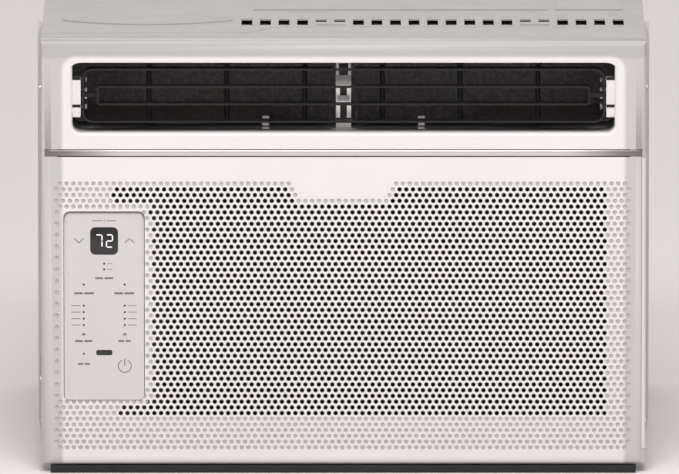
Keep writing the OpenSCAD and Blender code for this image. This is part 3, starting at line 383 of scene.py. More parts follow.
def bead_foam(name):
    """Expanded foam: round beads pressed together."""
    t = Tree(name)
    cells = t.add("ShaderNodeTexVoronoi")
    cells.inputs["Scale"].default_value = 320.0
    t.link(t.place, cells.inputs["Vector"])
    seam = t.remap(cells.outputs["Distance"], 0.2, 0.7, 0.0, 1.0)
    t.link(t.mix(seam, (0.52, 0.49, 0.49), (0.36, 0.34, 0.34)), t.shader.inputs["Base Color"])
    t.shader.inputs["Roughness"].default_value = 0.85
    t.shader.inputs["Specular IOR Level"].default_value = 0.2
    t.link(t.bump(seam, -0.4, 0.0008), t.shader.inputs["Normal"])
    return t.material


def floor_paper(name):
    t = Tree(name)
    cloud = t.remap(t.noise(0.6, 2.0), 0.3, 0.7, 0.0, 1.0)
    t.link(t.mix(cloud, (0.80, 0.755, 0.755), (0.82, 0.775, 0.775)), t.shader.inputs["Base Color"])
    t.shader.inputs["Roughness"].default_value = 0.9
    t.shader.inputs["Specular IOR Level"].default_value = 0.1
    return t.material


def lamp_glass(name):
    """A smoked lens: dark and glossy, its tone a little uneven."""
    t = Tree(name)
    finish_surface(t, (0.018, 0.017, 0.018), 0.16, 0.03, 2600.0, 0.03, 0.2, 0.0, 0.5)
    return t.material


def glow(name, color, strength):
    """A lit display segment, with a slightly uneven glow."""
    t = Tree(name)
    t.link(t.mix(t.noise(400.0), shade(color, 0.85), color), t.shader.inputs["Base Color"])
    t.shader.inputs["Roughness"].default_value = 0.4
    t.shader.inputs["Emission Color"].default_value = (*color, 1.0)
    t.shader.inputs["Emission Strength"].default_value = strength
    return t.material


panel_mat = panel_plastic("white_panel")
outlet_shade_mat = duct_plastic("outlet_wall_shade")
slots = {
    "white_plastic": panel_mat,
    "silver_trim": silver_plastic("silver_strip"),
    "black_plastic": plain("black_satin", BLACK, 0.45, 0.05, 2400.0, 0.10, 0.15, 0.0, 0.3),
    "filter_plastic": frame_plastic("filter_frame_shade_inside"),
    "filter_net": woven_net("filter_net_weave"),
    "overlay": plain("overlay_film", (0.585, 0.565, 0.56), 0.5, 0.03, 3600.0, 0.06, 0.01),
    "display_glass": lamp_glass("display_glass"),
    "light_pipe": lamp_glass("lamp_lens"),
    "circuit_board": circuit("circuit_board"),
    "key_plastic": plain("key_caps", (0.72, 0.70, 0.69), 0.5),
    # The top sheet's copy of the cabinet paint, coloured darker than the sides' as painted shade.
    "cabinet_paint": painted_sheet("top_sheet_powder_darker", (0.355, 0.338, 0.334), 0.5),
    "zinc_sheet": spangled_zinc("galvanised_sheet"),
    "dark_plastic": plain("dark_housing", (0.055, 0.055, 0.058), 0.5, tint=0.1),
    "screw_steel": brushed_metal("plated_screws", (0.58, 0.58, 0.57), 0.38, 0),
    "black_rubber": plain("black_rubber", (0.022, 0.022, 0.023), 0.75, 0.08, 1400.0, 0.3, 0.15, 0.0, 0.3),
    "fin_aluminium": finned_aluminium("coil_fins"),
    "copper": drawn_copper("copper_tube"),
    "duct_plastic": plain("bulkhead_plastic", (0.68, 0.67, 0.655), 0.5),
    "foam": bead_foam("bead_foam"),
    "capacitor_can": brushed_metal("capacitor_can", (0.68, 0.68, 0.69), 0.35, 0),
    "motor_paint": painted_sheet("motor_enamel", (0.035, 0.035, 0.037), 0.35),
}
node_slot = {s["node"]: s["material_slot"] for s in frame["record"]["subparts"]}
for name, node in nodes.items():
    node.data.materials.clear()
    node.data.materials.append(slots[node_slot[name]])
link_mat = link_plastic("link_two_tone")
for name in ("vane_link_left", "vane_link_right"):
    nodes[name].data.materials[0] = link_mat
# The side and rear sheets are the same paint as the top; the top's copy is darker and this one lighter, as
# painted shade and painted light for how the lamps fall on them.
side_sheet_lighter_mat = painted_sheet("side_sheet_powder_lighter", (0.46, 0.44, 0.435), 0.5)
for name in ("cabinet_left", "cabinet_right", "rear_guard"):
    nodes[name].data.materials[0] = side_sheet_lighter_mat
rail_mat = painted_sheet("rail_powder", (0.55, 0.53, 0.525), 0.5)
for name in ("side_rail_left", "side_rail_right"):
    nodes[name].data.materials[0] = rail_mat
nodes["cord_grommet"].data.materials[0] = plain("grommet_grey", (0.42, 0.40, 0.40), 0.7, 0.06, 1400.0, 0.2)


# ---------------------------------------------------------------- mesh helpers

def piece(name, mesh, material, body, replaces=(), smooth_deg=35.0):
    obj = bpy.data.objects.new(name, mesh)
    bpy.context.scene.collection.objects.link(obj)
    if not mesh.materials:
        mesh.materials.append(material)
    if smooth_deg:
        mesh.shade_smooth()
        mesh.set_sharp_from_angle(angle=math.radians(smooth_deg))
    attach(obj, body)
    if replaces:
        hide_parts(*replaces)
    return obj


def mesh_from(name, points, faces):
    mesh = bpy.data.meshes.new(name)
    mesh.from_pydata([tuple(p) for p in points], [], faces)
    mesh.validate()
    mesh.update()
    return mesh


def rounded_rect(x0, x1, z0, z1, r, steps=8):
    """The outline, anticlockwise seen from the front, as (x, z) pairs in millimetres."""
    out = []
    corners = ((x1 - r, z0 + r, -90), (x1 - r, z1 - r, 0), (x0 + r, z1 - r, 90), (x0 + r, z0 + r, 180))
    for cx, cz, start in corners:
        for i in range(steps + 1):
            a = math.radians(start + 90 * i / steps)
            out.append((cx + r * math.cos(a), cz + r * math.sin(a)))
    return out


def sweep_loop(name, loops):
    """Skins a list of equally long closed loops of 3-D points, and joins the last one to the first."""
    count, n = len(loops), len(loops[0])
    points = [p for loop in loops for p in loop]
    faces = []
    for i in range(count):
        a, b = i * n, ((i + 1) % count) * n
        for j in range(n):
            k = (j + 1) % n
            faces.append((a + j, a + k, b + k, b + j))
    return mesh_from(name, points, faces)


def recalc(mesh):
    bm = bmesh.new()
    bm.from_mesh(mesh)
    bmesh.ops.recalc_face_normals(bm, faces=bm.faces)
    bm.to_mesh(mesh)
    bm.free()
    return mesh


def plate(name, outline, d_front, d_back, bevel=0.0, steps=2):
    """A flat plate with a rounded front rim. d_front may be a function of (x, z)."""
    front = d_front if callable(d_front) else (lambda x, z: d_front)
    cx = sum(p[0] for p in outline) / len(outline)
    cz = sum(p[1] for p in outline) / len(outline)
    rings = [[P(x, d_back, z) for x, z in outline]]
    for i in range(steps + 1 if bevel else 1):
        a = math.pi / 2 * i / steps if bevel else 0.0
        inset, rise = bevel * (1 - math.cos(a)), bevel * (1 - math.sin(a))
        ring = []
        for j, (x, z) in enumerate(outline):
            px, pz = outline[j - 1]
            nx, nz = outline[(j + 1) % len(outline)]
            tx, tz = nx - px, nz - pz
            length = math.hypot(tx, tz) or 1.0
            qx, qz = x - tz / length * inset, z + tx / length * inset
            ring.append(P(qx, front(qx, qz) + rise, qz))
        rings.append(ring)
    n = len(outline)
    points = [p for ring in rings for p in ring]
    faces = []
    for i in range(len(rings) - 1):
        for j in range(n):
            k = (j + 1) % n
            faces.append((i * n + j, i * n + k, (i + 1) * n + k, (i + 1) * n + j))
    faces.append(tuple(range(n))[::-1])
    faces.append(tuple(range((len(rings) - 1) * n, len(rings) * n)))
    return recalc(mesh_from(name, points, faces))


def join_meshes(name, meshes):
    bm = bmesh.new()
    for mesh in meshes:
        bm.from_mesh(mesh)
    out = bpy.data.meshes.new(name)
    bm.to_mesh(out)
    bm.free()
    return out


def difference(mesh, cutter_mesh):
    """The mesh with the cutter's solids taken away, as a new mesh."""
    a = bpy.data.objects.new("cut_body", mesh)
    b = bpy.data.objects.new("cut_tool", cutter_mesh)
    for o in (a, b):
        bpy.context.scene.collection.objects.link(o)
    mod = a.modifiers.new("cut", "BOOLEAN")
    mod.operation, mod.solver, mod.object = "DIFFERENCE", "EXACT", b
    bpy.context.view_layer.update()
    result = bpy.data.meshes.new_from_object(a.evaluated_get(bpy.context.evaluated_depsgraph_get()))
    for o in (a, b):
        bpy.data.objects.remove(o)
    return result


# ---------------------------------------------------------------- hole field
# The holes lie on a hexagonal lattice counted from its right end and its top row down.
PITCH, ROW = 5.225, 4.525
EVEN_X, ROW0_Z = 200.3, 223.9
HOLE_R = 1.78
LAST_ROW = 39


def hole_x(row, n):
    return EVEN_X - PITCH * n + (PITCH / 2 if row % 2 else 0.0)


def first_through(row):
    """The lattice count of a row's leftmost through hole."""
    special = {0: 72, 1: 73, 2: 72, 3: 67, 4: 67, 37: 68, 38: 71, 39: 72}
    return special.get(row, 67 if row % 2 else 66)


def plain_zone(row):
    """The counts left without a through hole at the middle of the top rows."""
    return {0: (31, 46), 1: (32, 46), 2: (32, 45)}.get(row)


through, blind = [], []
LEFT_END = 81
for row in range(-1, 46):
    z = ROW0_Z - ROW * row
    right_end = -3 if row % 2 else -4
    if row == -1:
        blind += [(hole_x(row, n), z) for n in range(right_end, 32)]
        blind += [(hole_x(row, n), z) for n in range(47, LEFT_END + 1)]
        continue
    if row > LAST_ROW:
        blind += [(hole_x(row, n), z) for n in range(right_end, LEFT_END + 1)]
        continue
    blind += [(hole_x(row, n), z) for n in range(right_end, 0)]
    first = first_through(row)
    gap = plain_zone(row)
    for n in range(0, first + 1):
        if gap and gap[0] <= n <= gap[1]:
            if row == 2 or n in gap:
                blind.append((hole_x(row, n), z))
            continue
        through.append((hole_x(row, n), z))
    if row <= 3 or row >= 37:
        blind += [(hole_x(row, n), z) for n in range(first + 1, LEFT_END + 1)]
    else:
        blind.append((hole_x(row, first + 1), z))
        if row == 36:
            blind.append((hole_x(row, first + 2), z))
        if row % 2 == 0:
            blind.append((hole_x(row, LEFT_END), z))

pad_x0, pad_x1, _, _, pad_z0, pad_z1 = box_mm("control_film")
FIELD = (-226.2, 226.2, 17.4, 231.2)
PAD_EDGE = 0.55
field_outline = [(FIELD[0], FIELD[2]), (FIELD[1], FIELD[2]), (FIELD[1], FIELD[3]), (FIELD[0], FIELD[3])]
pad_outline = rounded_rect(pad_x0 - PAD_EDGE, pad_x1 + PAD_EDGE, pad_z0 - PAD_EDGE, pad_z1 + PAD_EDGE, 4.6)
FIELD_DEPTH, PLATE_T, CUP_DEPTH = 1.6, 2.5, 1.1


def circle(x, z, r, n):
    turns = [2 * math.pi * (i + 0.5) / n for i in range(n)]
    return [(x + r * math.cos(a), z + r * math.sin(a)) for a in turns]


def build_field():
    """The perforated plate with its through holes and blind dimples, as one skin."""
    coords, edges = [], []

    def add_loop(loop):
        start = len(coords)
        coords.extend(loop)
        edges.extend((start + i, start + (i + 1) % len(loop)) for i in range(len(loop)))
        return list(range(start, start + len(loop)))

    add_loop(field_outline)
    add_loop(pad_outline)
    sides = 12
    rings = [(add_loop(circle(x, z, HOLE_R, sides)), x, z, True) for x, z in through]
    rings += [(add_loop(circle(x, z, HOLE_R, sides)), x, z, False) for x, z in blind]
    found = delaunay_2d_cdt([Vector(c) for c in coords], edges, [], 0, 1e-5, False)
    verts, tris = found[0], found[2]
    holes = set()
    for x, z in through + blind:
        row = round((ROW0_Z - z) / ROW)
        holes.add((row, round((hole_x(row, 0) - x) / PITCH)))

    def in_hole(x, z):
        near = round((ROW0_Z - z) / ROW)
        for row in (near - 1, near, near + 1):
            n = round((hole_x(row, 0) - x) / PITCH)
            if (row, n) in holes and math.hypot(x - hole_x(row, n), z - (ROW0_Z - ROW * row)) < HOLE_R:
                return True
        return False

    def in_pad(x, z):
        if not (pad_x0 - PAD_EDGE < x < pad_x1 + PAD_EDGE and pad_z0 - PAD_EDGE < z < pad_z1 + PAD_EDGE):
            return False
        inside = False
        j = len(pad_outline) - 1
        for i, (xi, zi) in enumerate(pad_outline):
            xj, zj = pad_outline[j]
            if (zi > z) != (zj > z) and x < (xj - xi) * (z - zi) / (zj - zi) + xi:
                inside = not inside
            j = i
        return inside

    index = {(round(v.x * 1e3), round(v.y * 1e3)): i for i, v in enumerate(verts)}
    points = [P(v.x, 0.0, v.y) for v in verts]
    faces, slot_of = [], []
    for tri in tris:
        x = sum(verts[i].x for i in tri) / len(tri)
        z = sum(verts[i].y for i in tri) / len(tri)
        if in_pad(x, z) or in_hole(x, z):
            continue
        a, b, c = (verts[i] for i in tri[:3])
        turn = (b.x - a.x) * (c.y - a.y) - (b.y - a.y) * (c.x - a.x)
        faces.append(tuple(tri) if turn > 0 else tuple(reversed(tri)))
        slot_of.append(0)
    for ring, x, z, open_hole in rings:
        top = [index[(round(coords[i][0] * 1e3), round(coords[i][1] * 1e3))] for i in ring]
        depth = PLATE_T if open_hole else CUP_DEPTH
        base = len(points)
        points.extend(P(verts[i].x, depth, verts[i].y) for i in top)
        n = len(top)
        for i in range(n):
            k = (i + 1) % n
            faces.append((top[i], base + i, base + k, top[k]))
            slot_of.append(1 if open_hole else 2)
        if not open_hole:
            faces.append(tuple(base + i for i in range(n)))
            slot_of.append(2)
    mesh = mesh_from("perforated_field", points, faces)
    for material in (panel_mat, bore_plastic("bore_wall_shade"), cup_plastic("cup_wall_shade")):
        mesh.materials.append(material)
    mesh.polygons.foreach_set("material_index", slot_of)
    return mesh


piece("perforated_field", build_field(), panel_mat, "unit", ["intake_grille"])


# ---------------------------------------------------------------- front shell
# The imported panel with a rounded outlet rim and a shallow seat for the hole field.
OUT_X, OUT_Z0, OUT_Z1, OUT_R, RIM_R = 210.5, 268.5, 325.5, 6.0, 3.0


def outlet_loop(grow, d):
    loop = rounded_rect(-OUT_X - grow, OUT_X + grow, OUT_Z0 - grow, OUT_Z1 + grow, OUT_R + grow, 10)
    return [P(x, d, z) for x, z in loop]


def rim_tool():
    profile = [(-0.5, -0.5), (RIM_R, -0.5)]
    for i in range(9):
        a = math.pi / 2 * i / 8
        profile.append((RIM_R - RIM_R * math.sin(a), RIM_R - RIM_R * math.cos(a)))
    profile.append((-0.5, RIM_R))
    return recalc(sweep_loop("rim_tool", [outlet_loop(g, d) for g, d in profile]))


def seat_tool():
    """The field's outline less the pad's, as a closed ring-shaped solid."""
    coords = field_outline + pad_outline
    m, n = len(field_outline), len(pad_outline)
    edges = [(i, (i + 1) % m) for i in range(m)] + [(m + i, m + (i + 1) % n) for i in range(n)]
    found = delaunay_2d_cdt([Vector(c) for c in coords], edges, [], 0, 1e-5, False)
    verts, tris = found[0], found[2]
    keep = []
    for tri in tris:
        if all(i >= m for i in tri):
            continue
        a, b, c = (verts[i] for i in tri)
        turn = (b.x - a.x) * (c.y - a.y) - (b.y - a.y) * (c.x - a.x)
        keep.append(tuple(tri) if turn > 0 else tuple(reversed(tri)))
    bm = bmesh.new()
    front = [bm.verts.new(P(v.x, -1.0, v.y)) for v in verts]
    for tri in keep:
        bm.faces.new([front[i] for i in tri])
    made = bmesh.ops.extrude_face_region(bm, geom=list(bm.faces))
    moved = [g for g in made["geom"] if isinstance(g, bmesh.types.BMVert)]
    bmesh.ops.translate(bm, verts=moved, vec=Vector((0, (FIELD_DEPTH + 1.0) * MM, 0)))
    bmesh.ops.recalc_face_normals(bm, faces=bm.faces)
    mesh = bpy.data.meshes.new("seat_tool")
    bm.to_mesh(mesh)
    bm.free()
    return mesh


def welded(mesh):
    bm = bmesh.new()
    bm.from_mesh(mesh)
    bmesh.ops.remove_doubles(bm, verts=bm.verts, dist=2e-6)
    bmesh.ops.recalc_face_normals(bm, faces=bm.faces)
    out = bpy.data.meshes.new(mesh.name + "_welded")
    bm.to_mesh(out)
    bm.free()
    return out


def outline_gap(x, z):
    """How far outside the outlet's rounded outline a point is, in millimetres."""
    qx = abs(x) - (OUT_X - OUT_R)
    qz = abs(z - (OUT_Z0 + OUT_Z1) / 2) - ((OUT_Z1 - OUT_Z0) / 2 - OUT_R)
    return math.hypot(max(qx, 0), max(qz, 0)) + min(max(qx, qz), 0) - OUT_R


shell_mesh = difference(welded(nodes["front_panel"].data), join_meshes("tools", [rim_tool(), seat_tool()]))
shell_mesh.name = "front_shell"
shell_mesh.materials.clear()
shell_mesh.materials.append(panel_mat)
shell_mesh.materials.append(outlet_shade_mat)
# Faces of the white panel round and inside the outlet take the outlet material, and with it its painted
# shade.
for poly in shell_mesh.polygons:
    spots = [shell_mesh.vertices[i].co for i in poly.vertices]
    gaps = [outline_gap(spot.x / MM, spot.z / MM) for spot in spots]
    depth = (poly.center.y - FRONT) / MM
    wall = max(abs(g) for g in gaps) < 0.25 and depth > 1.0
    boss = max(gaps) < 0.25 and depth > 1.0 and 8.0 < abs(poly.center.x / MM) < 198.0
    poly.material_index = 1 if wall or boss else 0
piece("front_shell", shell_mesh, panel_mat, "unit", ["front_panel"], 32.0)


def settle_normals(mesh, limit=math.cos(math.radians(20.0))):
    """Keeps the flat front's shading flat right up to its edges, and lets the roundings start from it."""
    ahead = Vector((0.0, -1.0, 0.0))
    flat = set()
    normals = [corner.vector.copy() for corner in mesh.corner_normals]
    for poly in mesh.polygons:
        if poly.normal.dot(ahead) > 0.9999:
            if poly.area > 1e-8:
                flat.update(poly.vertices)
            for i in poly.loop_indices:
                normals[i] = ahead
    for i, loop in enumerate(mesh.loops):
        if loop.vertex_index in flat and normals[i].dot(ahead) > limit:
            normals[i] = ahead
    mesh.normals_split_custom_set(normals)


settle_normals(shell_mesh)


# ---------------------------------------------------------------- control pad
# The overlay is deepest at its top and comes up level with the face at its foot.
PAD_TOP_D, PAD_FOOT_D = 1.15, 0.03
FILM_GROW, FILM_R, FILM_BACK = 0.15, 4.0, 1.4


def film_d(z):
    share = (pad_z1 - z) / (pad_z1 - pad_z0)
    return PAD_TOP_D + (PAD_FOOT_D - PAD_TOP_D) * min(1.0, max(0.0, share)) ** 0.8


def film_mesh():
    """A thin film in the recess, in strips so that it can curve from top to foot."""
    low_x, high_x = pad_x0 - FILM_GROW, pad_x1 + FILM_GROW
    low_z, high_z = pad_z0 - FILM_GROW, pad_z1 + FILM_GROW
    outline = rounded_rect(low_x, high_x, low_z, high_z, FILM_R, 8)
    right = [p for p in outline if p[0] > (pad_x0 + pad_x1) / 2]
    right.sort(key=lambda p: (p[1], -p[0]))
    levels = sorted({round(p[1], 4) for p in right} | {pad_z0 + 4.5 + 4.7 * i for i in range(30)})
    middle = (pad_x0 + pad_x1) / 2
    half_w = (pad_x1 - pad_x0) / 2 + FILM_GROW

    def half(z):
        edge = min(z - low_z, high_z - z)
        if edge >= FILM_R:
            return half_w
        return half_w - FILM_R + math.sqrt(max(0.0, FILM_R ** 2 - (FILM_R - edge) ** 2))

    points, faces = [], []
    for z in levels:
        w = half(z)
        for s in (-1.0, -0.5, 0.0, 0.5, 1.0):
            points.append(P(middle + s * w, film_d(z), z))
        for s in (-1.0, 1.0):
            points.append(P(middle + s * w, FILM_BACK, z))
    n = 7
    for i in range(len(levels) - 1):
        a, b = i * n, (i + 1) * n
        for j in range(4):
            faces.append((a + j, a + j + 1, b + j + 1, b + j))
        faces.append((a + 5, a, b, b + 5))
        faces.append((a + 4, a + 6, b + 6, b + 4))
        faces.append((a + 6, a + 5, b + 5, b + 6))
    mesh = mesh_from("pad_overlay", points, faces)
    return recalc(mesh)


def box_mesh(name, x0, x1, d0, d1, z0, z1):
    corners = [(x, d, z) for d in (d0, d1) for z in (z0, z1) for x in (x0, x1)]
    faces = [(0, 1, 3, 2), (5, 4, 6, 7), (4, 5, 1, 0), (2, 3, 7, 6), (4, 0, 2, 6), (1, 5, 7, 3)]
    return mesh_from(name, [P(*c) for c in corners], faces)


def edge_ring(inner, outer, d):
    """A narrow band round the pad's outline, closed at its back."""
    def loop(grow, depth):
        shape = rounded_rect(pad_x0 - grow, pad_x1 + grow, pad_z0 - grow, pad_z1 + grow, 4.1 + grow, 8)
        return [P(x, depth, z) for x, z in shape]
    back = d + 0.2
    loops = [loop(inner, d), loop(outer, d), loop(outer, back), loop(inner, back)]
    return recalc(sweep_loop("pad_seam", loops))


# Black plates behind the holes that stand over solid panel, as painted shade that makes them read as open, as
# (x0, x1, z0, z1)
BACK_D0, BACK_D1, BACK_X1 = 1.48, 1.56, -141.0
shade_plate_places = [(-180.0, BACK_X1, 212.2, 217.6), (-152.0, BACK_X1, 46.5, 212.2), (-176.0, BACK_X1, 44.0, 55.0)]
shade_plates = [box_mesh("back", x0, x1, BACK_D0, BACK_D1, z0, z1) for x0, x1, z0, z1 in shade_plate_places]
piece("hole_shade_backing", join_meshes("hole_shade_backing", shade_plates), slots["black_plastic"],
      "unit", smooth_deg=0)
piece("pad_seam", edge_ring(-0.35, 0.75, 0.0), edge_shadow("pad_seam_shadow", 0.1935, 0.2065),
      "unit", smooth_deg=0)
piece("pad_overlay", film_mesh(), slots["overlay"], "unit", ["control_film"])
PAD_X = (pad_x0 + pad_x1) / 2
PAD_TOP = pad_z1 + 0.2
ink = plain("grey_ink", (0.17, 0.16, 0.16), 0.6, tint=0.05)
INK_T = 0.02


def on_film(x, down, lift=0.0):
    z = PAD_TOP - down
    return P(PAD_X + x, film_d(z) - lift, z)


def ink_shape(outline, lift=INK_T):
    """A printed mark: a thin raised plate on the film, given as (x, down) pairs."""
    n = len(outline)
    points = [on_film(x, down, lift) for x, down in outline] + [on_film(x, down, -0.1) for x, down in outline]
    faces = [tuple(range(n)), tuple(range(n, 2 * n))[::-1]]
    faces += [(i, n + i, n + (i + 1) % n, (i + 1) % n) for i in range(n)]
    return recalc(mesh_from("ink", points, faces))


def stroke(a, b, width):
    dx, dz = b[0] - a[0], b[1] - a[1]
    length = math.hypot(dx, dz)
    ox, oz = -dz / length * width / 2, dx / length * width / 2
    return ink_shape([(a[0] + ox, a[1] + oz), (b[0] + ox, b[1] + oz),
                      (b[0] - ox, b[1] - oz), (a[0] - ox, a[1] - oz)])


def bar(x0, x1, down, height=0.5):
    high, low = down - height / 2, down + height / 2
    return ink_shape([(x0, high), (x1, high), (x1, low), (x0, low)])


KEY_X = 15.9
SCALE_DOWNS = (73.8, 78.9, 84.1, 89.1)
marks = []
# Down and up arrows beside the display
marks += [stroke((-23.2, 21.0), (-19.6, 24.4), 0.75), stroke((-19.6, 24.4), (-16.0, 21.0), 0.75)]
marks += [stroke((15.9, 24.4), (19.7, 21.0), 0.75), stroke((19.7, 21.0), (23.5, 24.4), 0.75)]
# Small captions, drawn only as short rules
marks += [bar(-9.4, -0.9, 7.0, 0.7), bar(1.6, 9.6, 7.0, 0.7), stroke((0.3, 5.6), (0.3, 8.4), 0.3)]
marks += [bar(2.4, 6.6, 40.8, 0.6), bar(2.4, 6.2, 45.2, 0.6)]
marks += [bar(-6.9, -1.0, 52.2, 1.6), bar(0.3, 6.9, 52.2, 1.6)]
marks += [bar(-23.3, -16.6, 64.1, 1.7), bar(-15.6, -8.0, 64.1, 1.7)]
marks += [bar(7.9, 14.6, 64.1, 1.7), bar(15.6, 23.2, 64.1, 1.7)]
for down in SCALE_DOWNS:
    marks += [bar(-25.6, -18.6, down, 0.6), bar(18.6, 25.2, down, 0.6)]
for side in (-1, 1):
    x = side * KEY_X
    marks.append(ink_shape([(x - 1.5, 96.6), (x, 94.9), (x + 1.5, 96.6), (x + 1.5, 97.2), (x - 1.5, 97.2)]))
marks += [bar(-22.7, -16.6, 101.7, 1.6), bar(-15.6, -9.2, 101.7, 1.6)]
marks += [bar(11.0, 15.4, 101.7, 1.6), bar(16.4, 20.6, 101.7, 1.6)]
marks += [bar(-20.6, -16.4, 119.7, 1.6), bar(-15.4, -11.2, 119.7, 1.6)]


def power_ring(x, down, r, width):
    start, turn, steps = math.radians(28), math.radians(304), 28
    inner, outer = [], []
    for i in range(steps + 1):
        a = start + turn * i / steps
        for ring, radius in ((inner, r - width / 2), (outer, r + width / 2)):
            ring.append((x + radius * math.sin(a), down - radius * math.cos(a)))
    shapes = []
    for i in range(steps):
        shapes.append(ink_shape([inner[i], inner[i + 1], outer[i + 1], outer[i]]))
    return shapes


marks += power_ring(KEY_X, 121.4, 5.0, 0.75)
marks.append(stroke((KEY_X, 115.6), (KEY_X, 121.0), 0.8))
piece("pad_marks", join_meshes("pad_marks", marks), ink, "unit", smooth_deg=0)

lamp_places = [(-KEY_X, 57.2), (KEY_X, 57.2), (0.0, 40.8), (0.0, 45.2), (-KEY_X, 111.7)]
lamp_places += [(s * KEY_X, down) for s in (-1, 1) for down in SCALE_DOWNS]


def lamp(x, down, r=0.95):
    """A small domed lens standing just proud of the film."""
    n, rings = 16, [(r, -0.3), (r, 0.03), (r * 0.8, 0.08), (r * 0.4, 0.11)]
    points = []
    for radius, lift in rings:
        for i in range(n):
            a = 2 * math.pi * i / n
            points.append(on_film(x + radius * math.cos(a), down + radius * math.sin(a), lift - 0.06))
    faces = []
    for k in range(len(rings) - 1):
        for i in range(n):
            j = (i + 1) % n
            faces.append((k * n + i, k * n + j, (k + 1) * n + j, (k + 1) * n + i))
    faces.append(tuple(range((len(rings) - 1) * n, len(rings) * n)))
    return recalc(mesh_from("lamp", points, faces))


piece("pad_lamps", join_meshes("pad_lamps", [lamp(x, d) for x, d in lamp_places]), slots["light_pipe"],
      "unit", ["indicator_lights"])


def film_plate(name, x, down, w, h, r, lift, sink):
    cx, cz = PAD_X + x, PAD_TOP - down
    outline = rounded_rect(cx - w / 2, cx + w / 2, cz - h / 2, cz + h / 2, r, 8)
    return plate(name, outline, lambda px, pz: film_d(pz) - lift, FILM_BACK + sink, 0.18, 3)


piece("receiver_window", film_plate("receiver_window", 0.0, 110.8, 12.8, 4.4, 1.5, 0.02, 0.4),
      slots["display_glass"], "unit", ["infrared_window"], 50)
DISPLAY_DOWN, DISPLAY_W = 22.9, 21.9
piece("display_window", film_plate("display_window", 0.0, DISPLAY_DOWN, DISPLAY_W, DISPLAY_W, 4.2, 0.03, 0.3),
      slots["display_glass"], "unit", (), 50)


def segment(cx, down, length, upright, width):
    h, w = length / 2, width / 2
    pts = [(-h, 0), (-h + w, -w), (h - w, -w), (h, 0), (h - w, w), (-h + w, w)]
    if upright:
        pts = [(b, a) for a, b in pts]
    return [(cx + a, down + b) for a, b in pts]


def digit(cx, down, lit, w=4.7, h=9.6, width=0.95):
    """A generic seven-segment digit: lit holds the letters a to g of its lit bars."""
    shapes = {
        "a": (0, -h / 2, w, False), "g": (0, 0, w, False), "d": (0, h / 2, w, False),
        "f": (-w / 2, -h / 4, h / 2, True), "b": (w / 2, -h / 4, h / 2, True),
        "e": (-w / 2, h / 4, h / 2, True), "c": (w / 2, h / 4, h / 2, True),
    }
    out = []
    for key in lit:
        x, y, length, upright = shapes[key]
        out.append(ink_shape(segment(cx + x, down + y, length - 0.35, upright, width), 0.06))
    return out


digits = digit(-4.0, DISPLAY_DOWN, "abc") + digit(4.2, DISPLAY_DOWN, "abdeg")
piece("display_digits", join_meshes("display_digits", digits), glow("digit_glow", (0.75, 0.75, 0.74), 0.35),
      "unit", smooth_deg=0)


# ---------------------------------------------------------------- trim strip
tx0, tx1, td0, _, tz0, tz1 = box_mm("trim_strip")


def trim_mesh():
    """A gently crowned bar whose ends follow the panel's rounded sides."""
    edge, gap = 8.0, 0.55
    half = cad_high.x / MM - 4.0 - edge
    profile = [(tz0 + gap, 0.75), (tz0 + gap + 0.3, 0.3), (tz0 + gap + 0.9, 0.12), ((tz0 + tz1) / 2, 0.0),
               (tz1 - gap - 0.9, 0.12), (tz1 - gap - 0.3, 0.3), (tz1 - gap, 0.75)]
    stations = [tx0 + 0.05 + i * 0.4 for i in range(13)]
    stations += [tx0 + 6 + (tx1 - tx0 - 12) * i / 24 for i in range(25)]
    stations += [tx1 - 0.05 - i * 0.4 for i in reversed(range(13))]
    loops = []
    for x in stations:
        over = max(0.0, abs(x) - half)
        back = edge - math.sqrt(max(0.0, edge * edge - over * over))
        loops.append([P(x, td0 + back + d, z) for z, d in profile])
    n = len(profile)
    points = [p for loop in loops for p in loop]
    faces = []
    for i in range(len(loops) - 1):
        for j in range(n - 1):
            faces.append((i * n + j, i * n + j + 1, (i + 1) * n + j + 1, (i + 1) * n + j))
    mesh = mesh_from("trim_bar", points, faces)
    return recalc(mesh)


piece("trim_bar", trim_mesh(), slots["silver_trim"], "unit", ["trim_strip"], 60)


# ---------------------------------------------------------------- outlet details
# A black plate behind the trim bar and a little taller than it, as painted shade in the groove's narrow gaps
# above and below the bar.
SEAT_GAP = 0.1
SEAT_X = 222.5
groove_shade_mesh = box_mesh("trim_groove_shade", -SEAT_X, SEAT_X, td0 + 0.35, td0 + 0.7, tz0 + SEAT_GAP, tz1 - SEAT_GAP)
piece("trim_groove_shade", groove_shade_mesh, slots["black_plastic"], "unit", smooth_deg=0)


def block(x0, x1, d0, d1, z0, z1, bevel=0.25):
    bm = bmesh.new()
    made = bmesh.ops.create_cube(bm, size=1.0)
    a, b = P(x0, d0, z0), P(x1, d1, z1)
    for v in made["verts"]:
        v.co = Vector([(a[i] + b[i]) / 2 + v.co[i] * (b[i] - a[i]) for i in range(3)])
    bmesh.ops.bevel(bm, geom=list(bm.edges), offset=bevel * MM, segments=2, affect="EDGES", profile=0.5)
    mesh = bpy.data.meshes.new("block")
    bm.to_mesh(mesh)
    bm.free()
    return mesh


teeth = []
for side in (-1, 1):
    for z0, z1 in ((304.4, 308.3), (297.0, 300.2), (291.4, 293.8), (283.0, 287.0)):
        a, b = sorted((side * 199.4, side * 201.0))
        teeth.append(block(a, b, 23.4, 25.4, z0, z1))
        a, b = sorted((side * 200.6, side * 210.6))
        teeth.append(block(a, b, 24.4, 25.4, (z0 + z1) / 2 - 0.5, (z0 + z1) / 2 + 0.5))
piece("bracket_teeth", join_meshes("bracket_teeth", teeth), panel_mat, "unit")


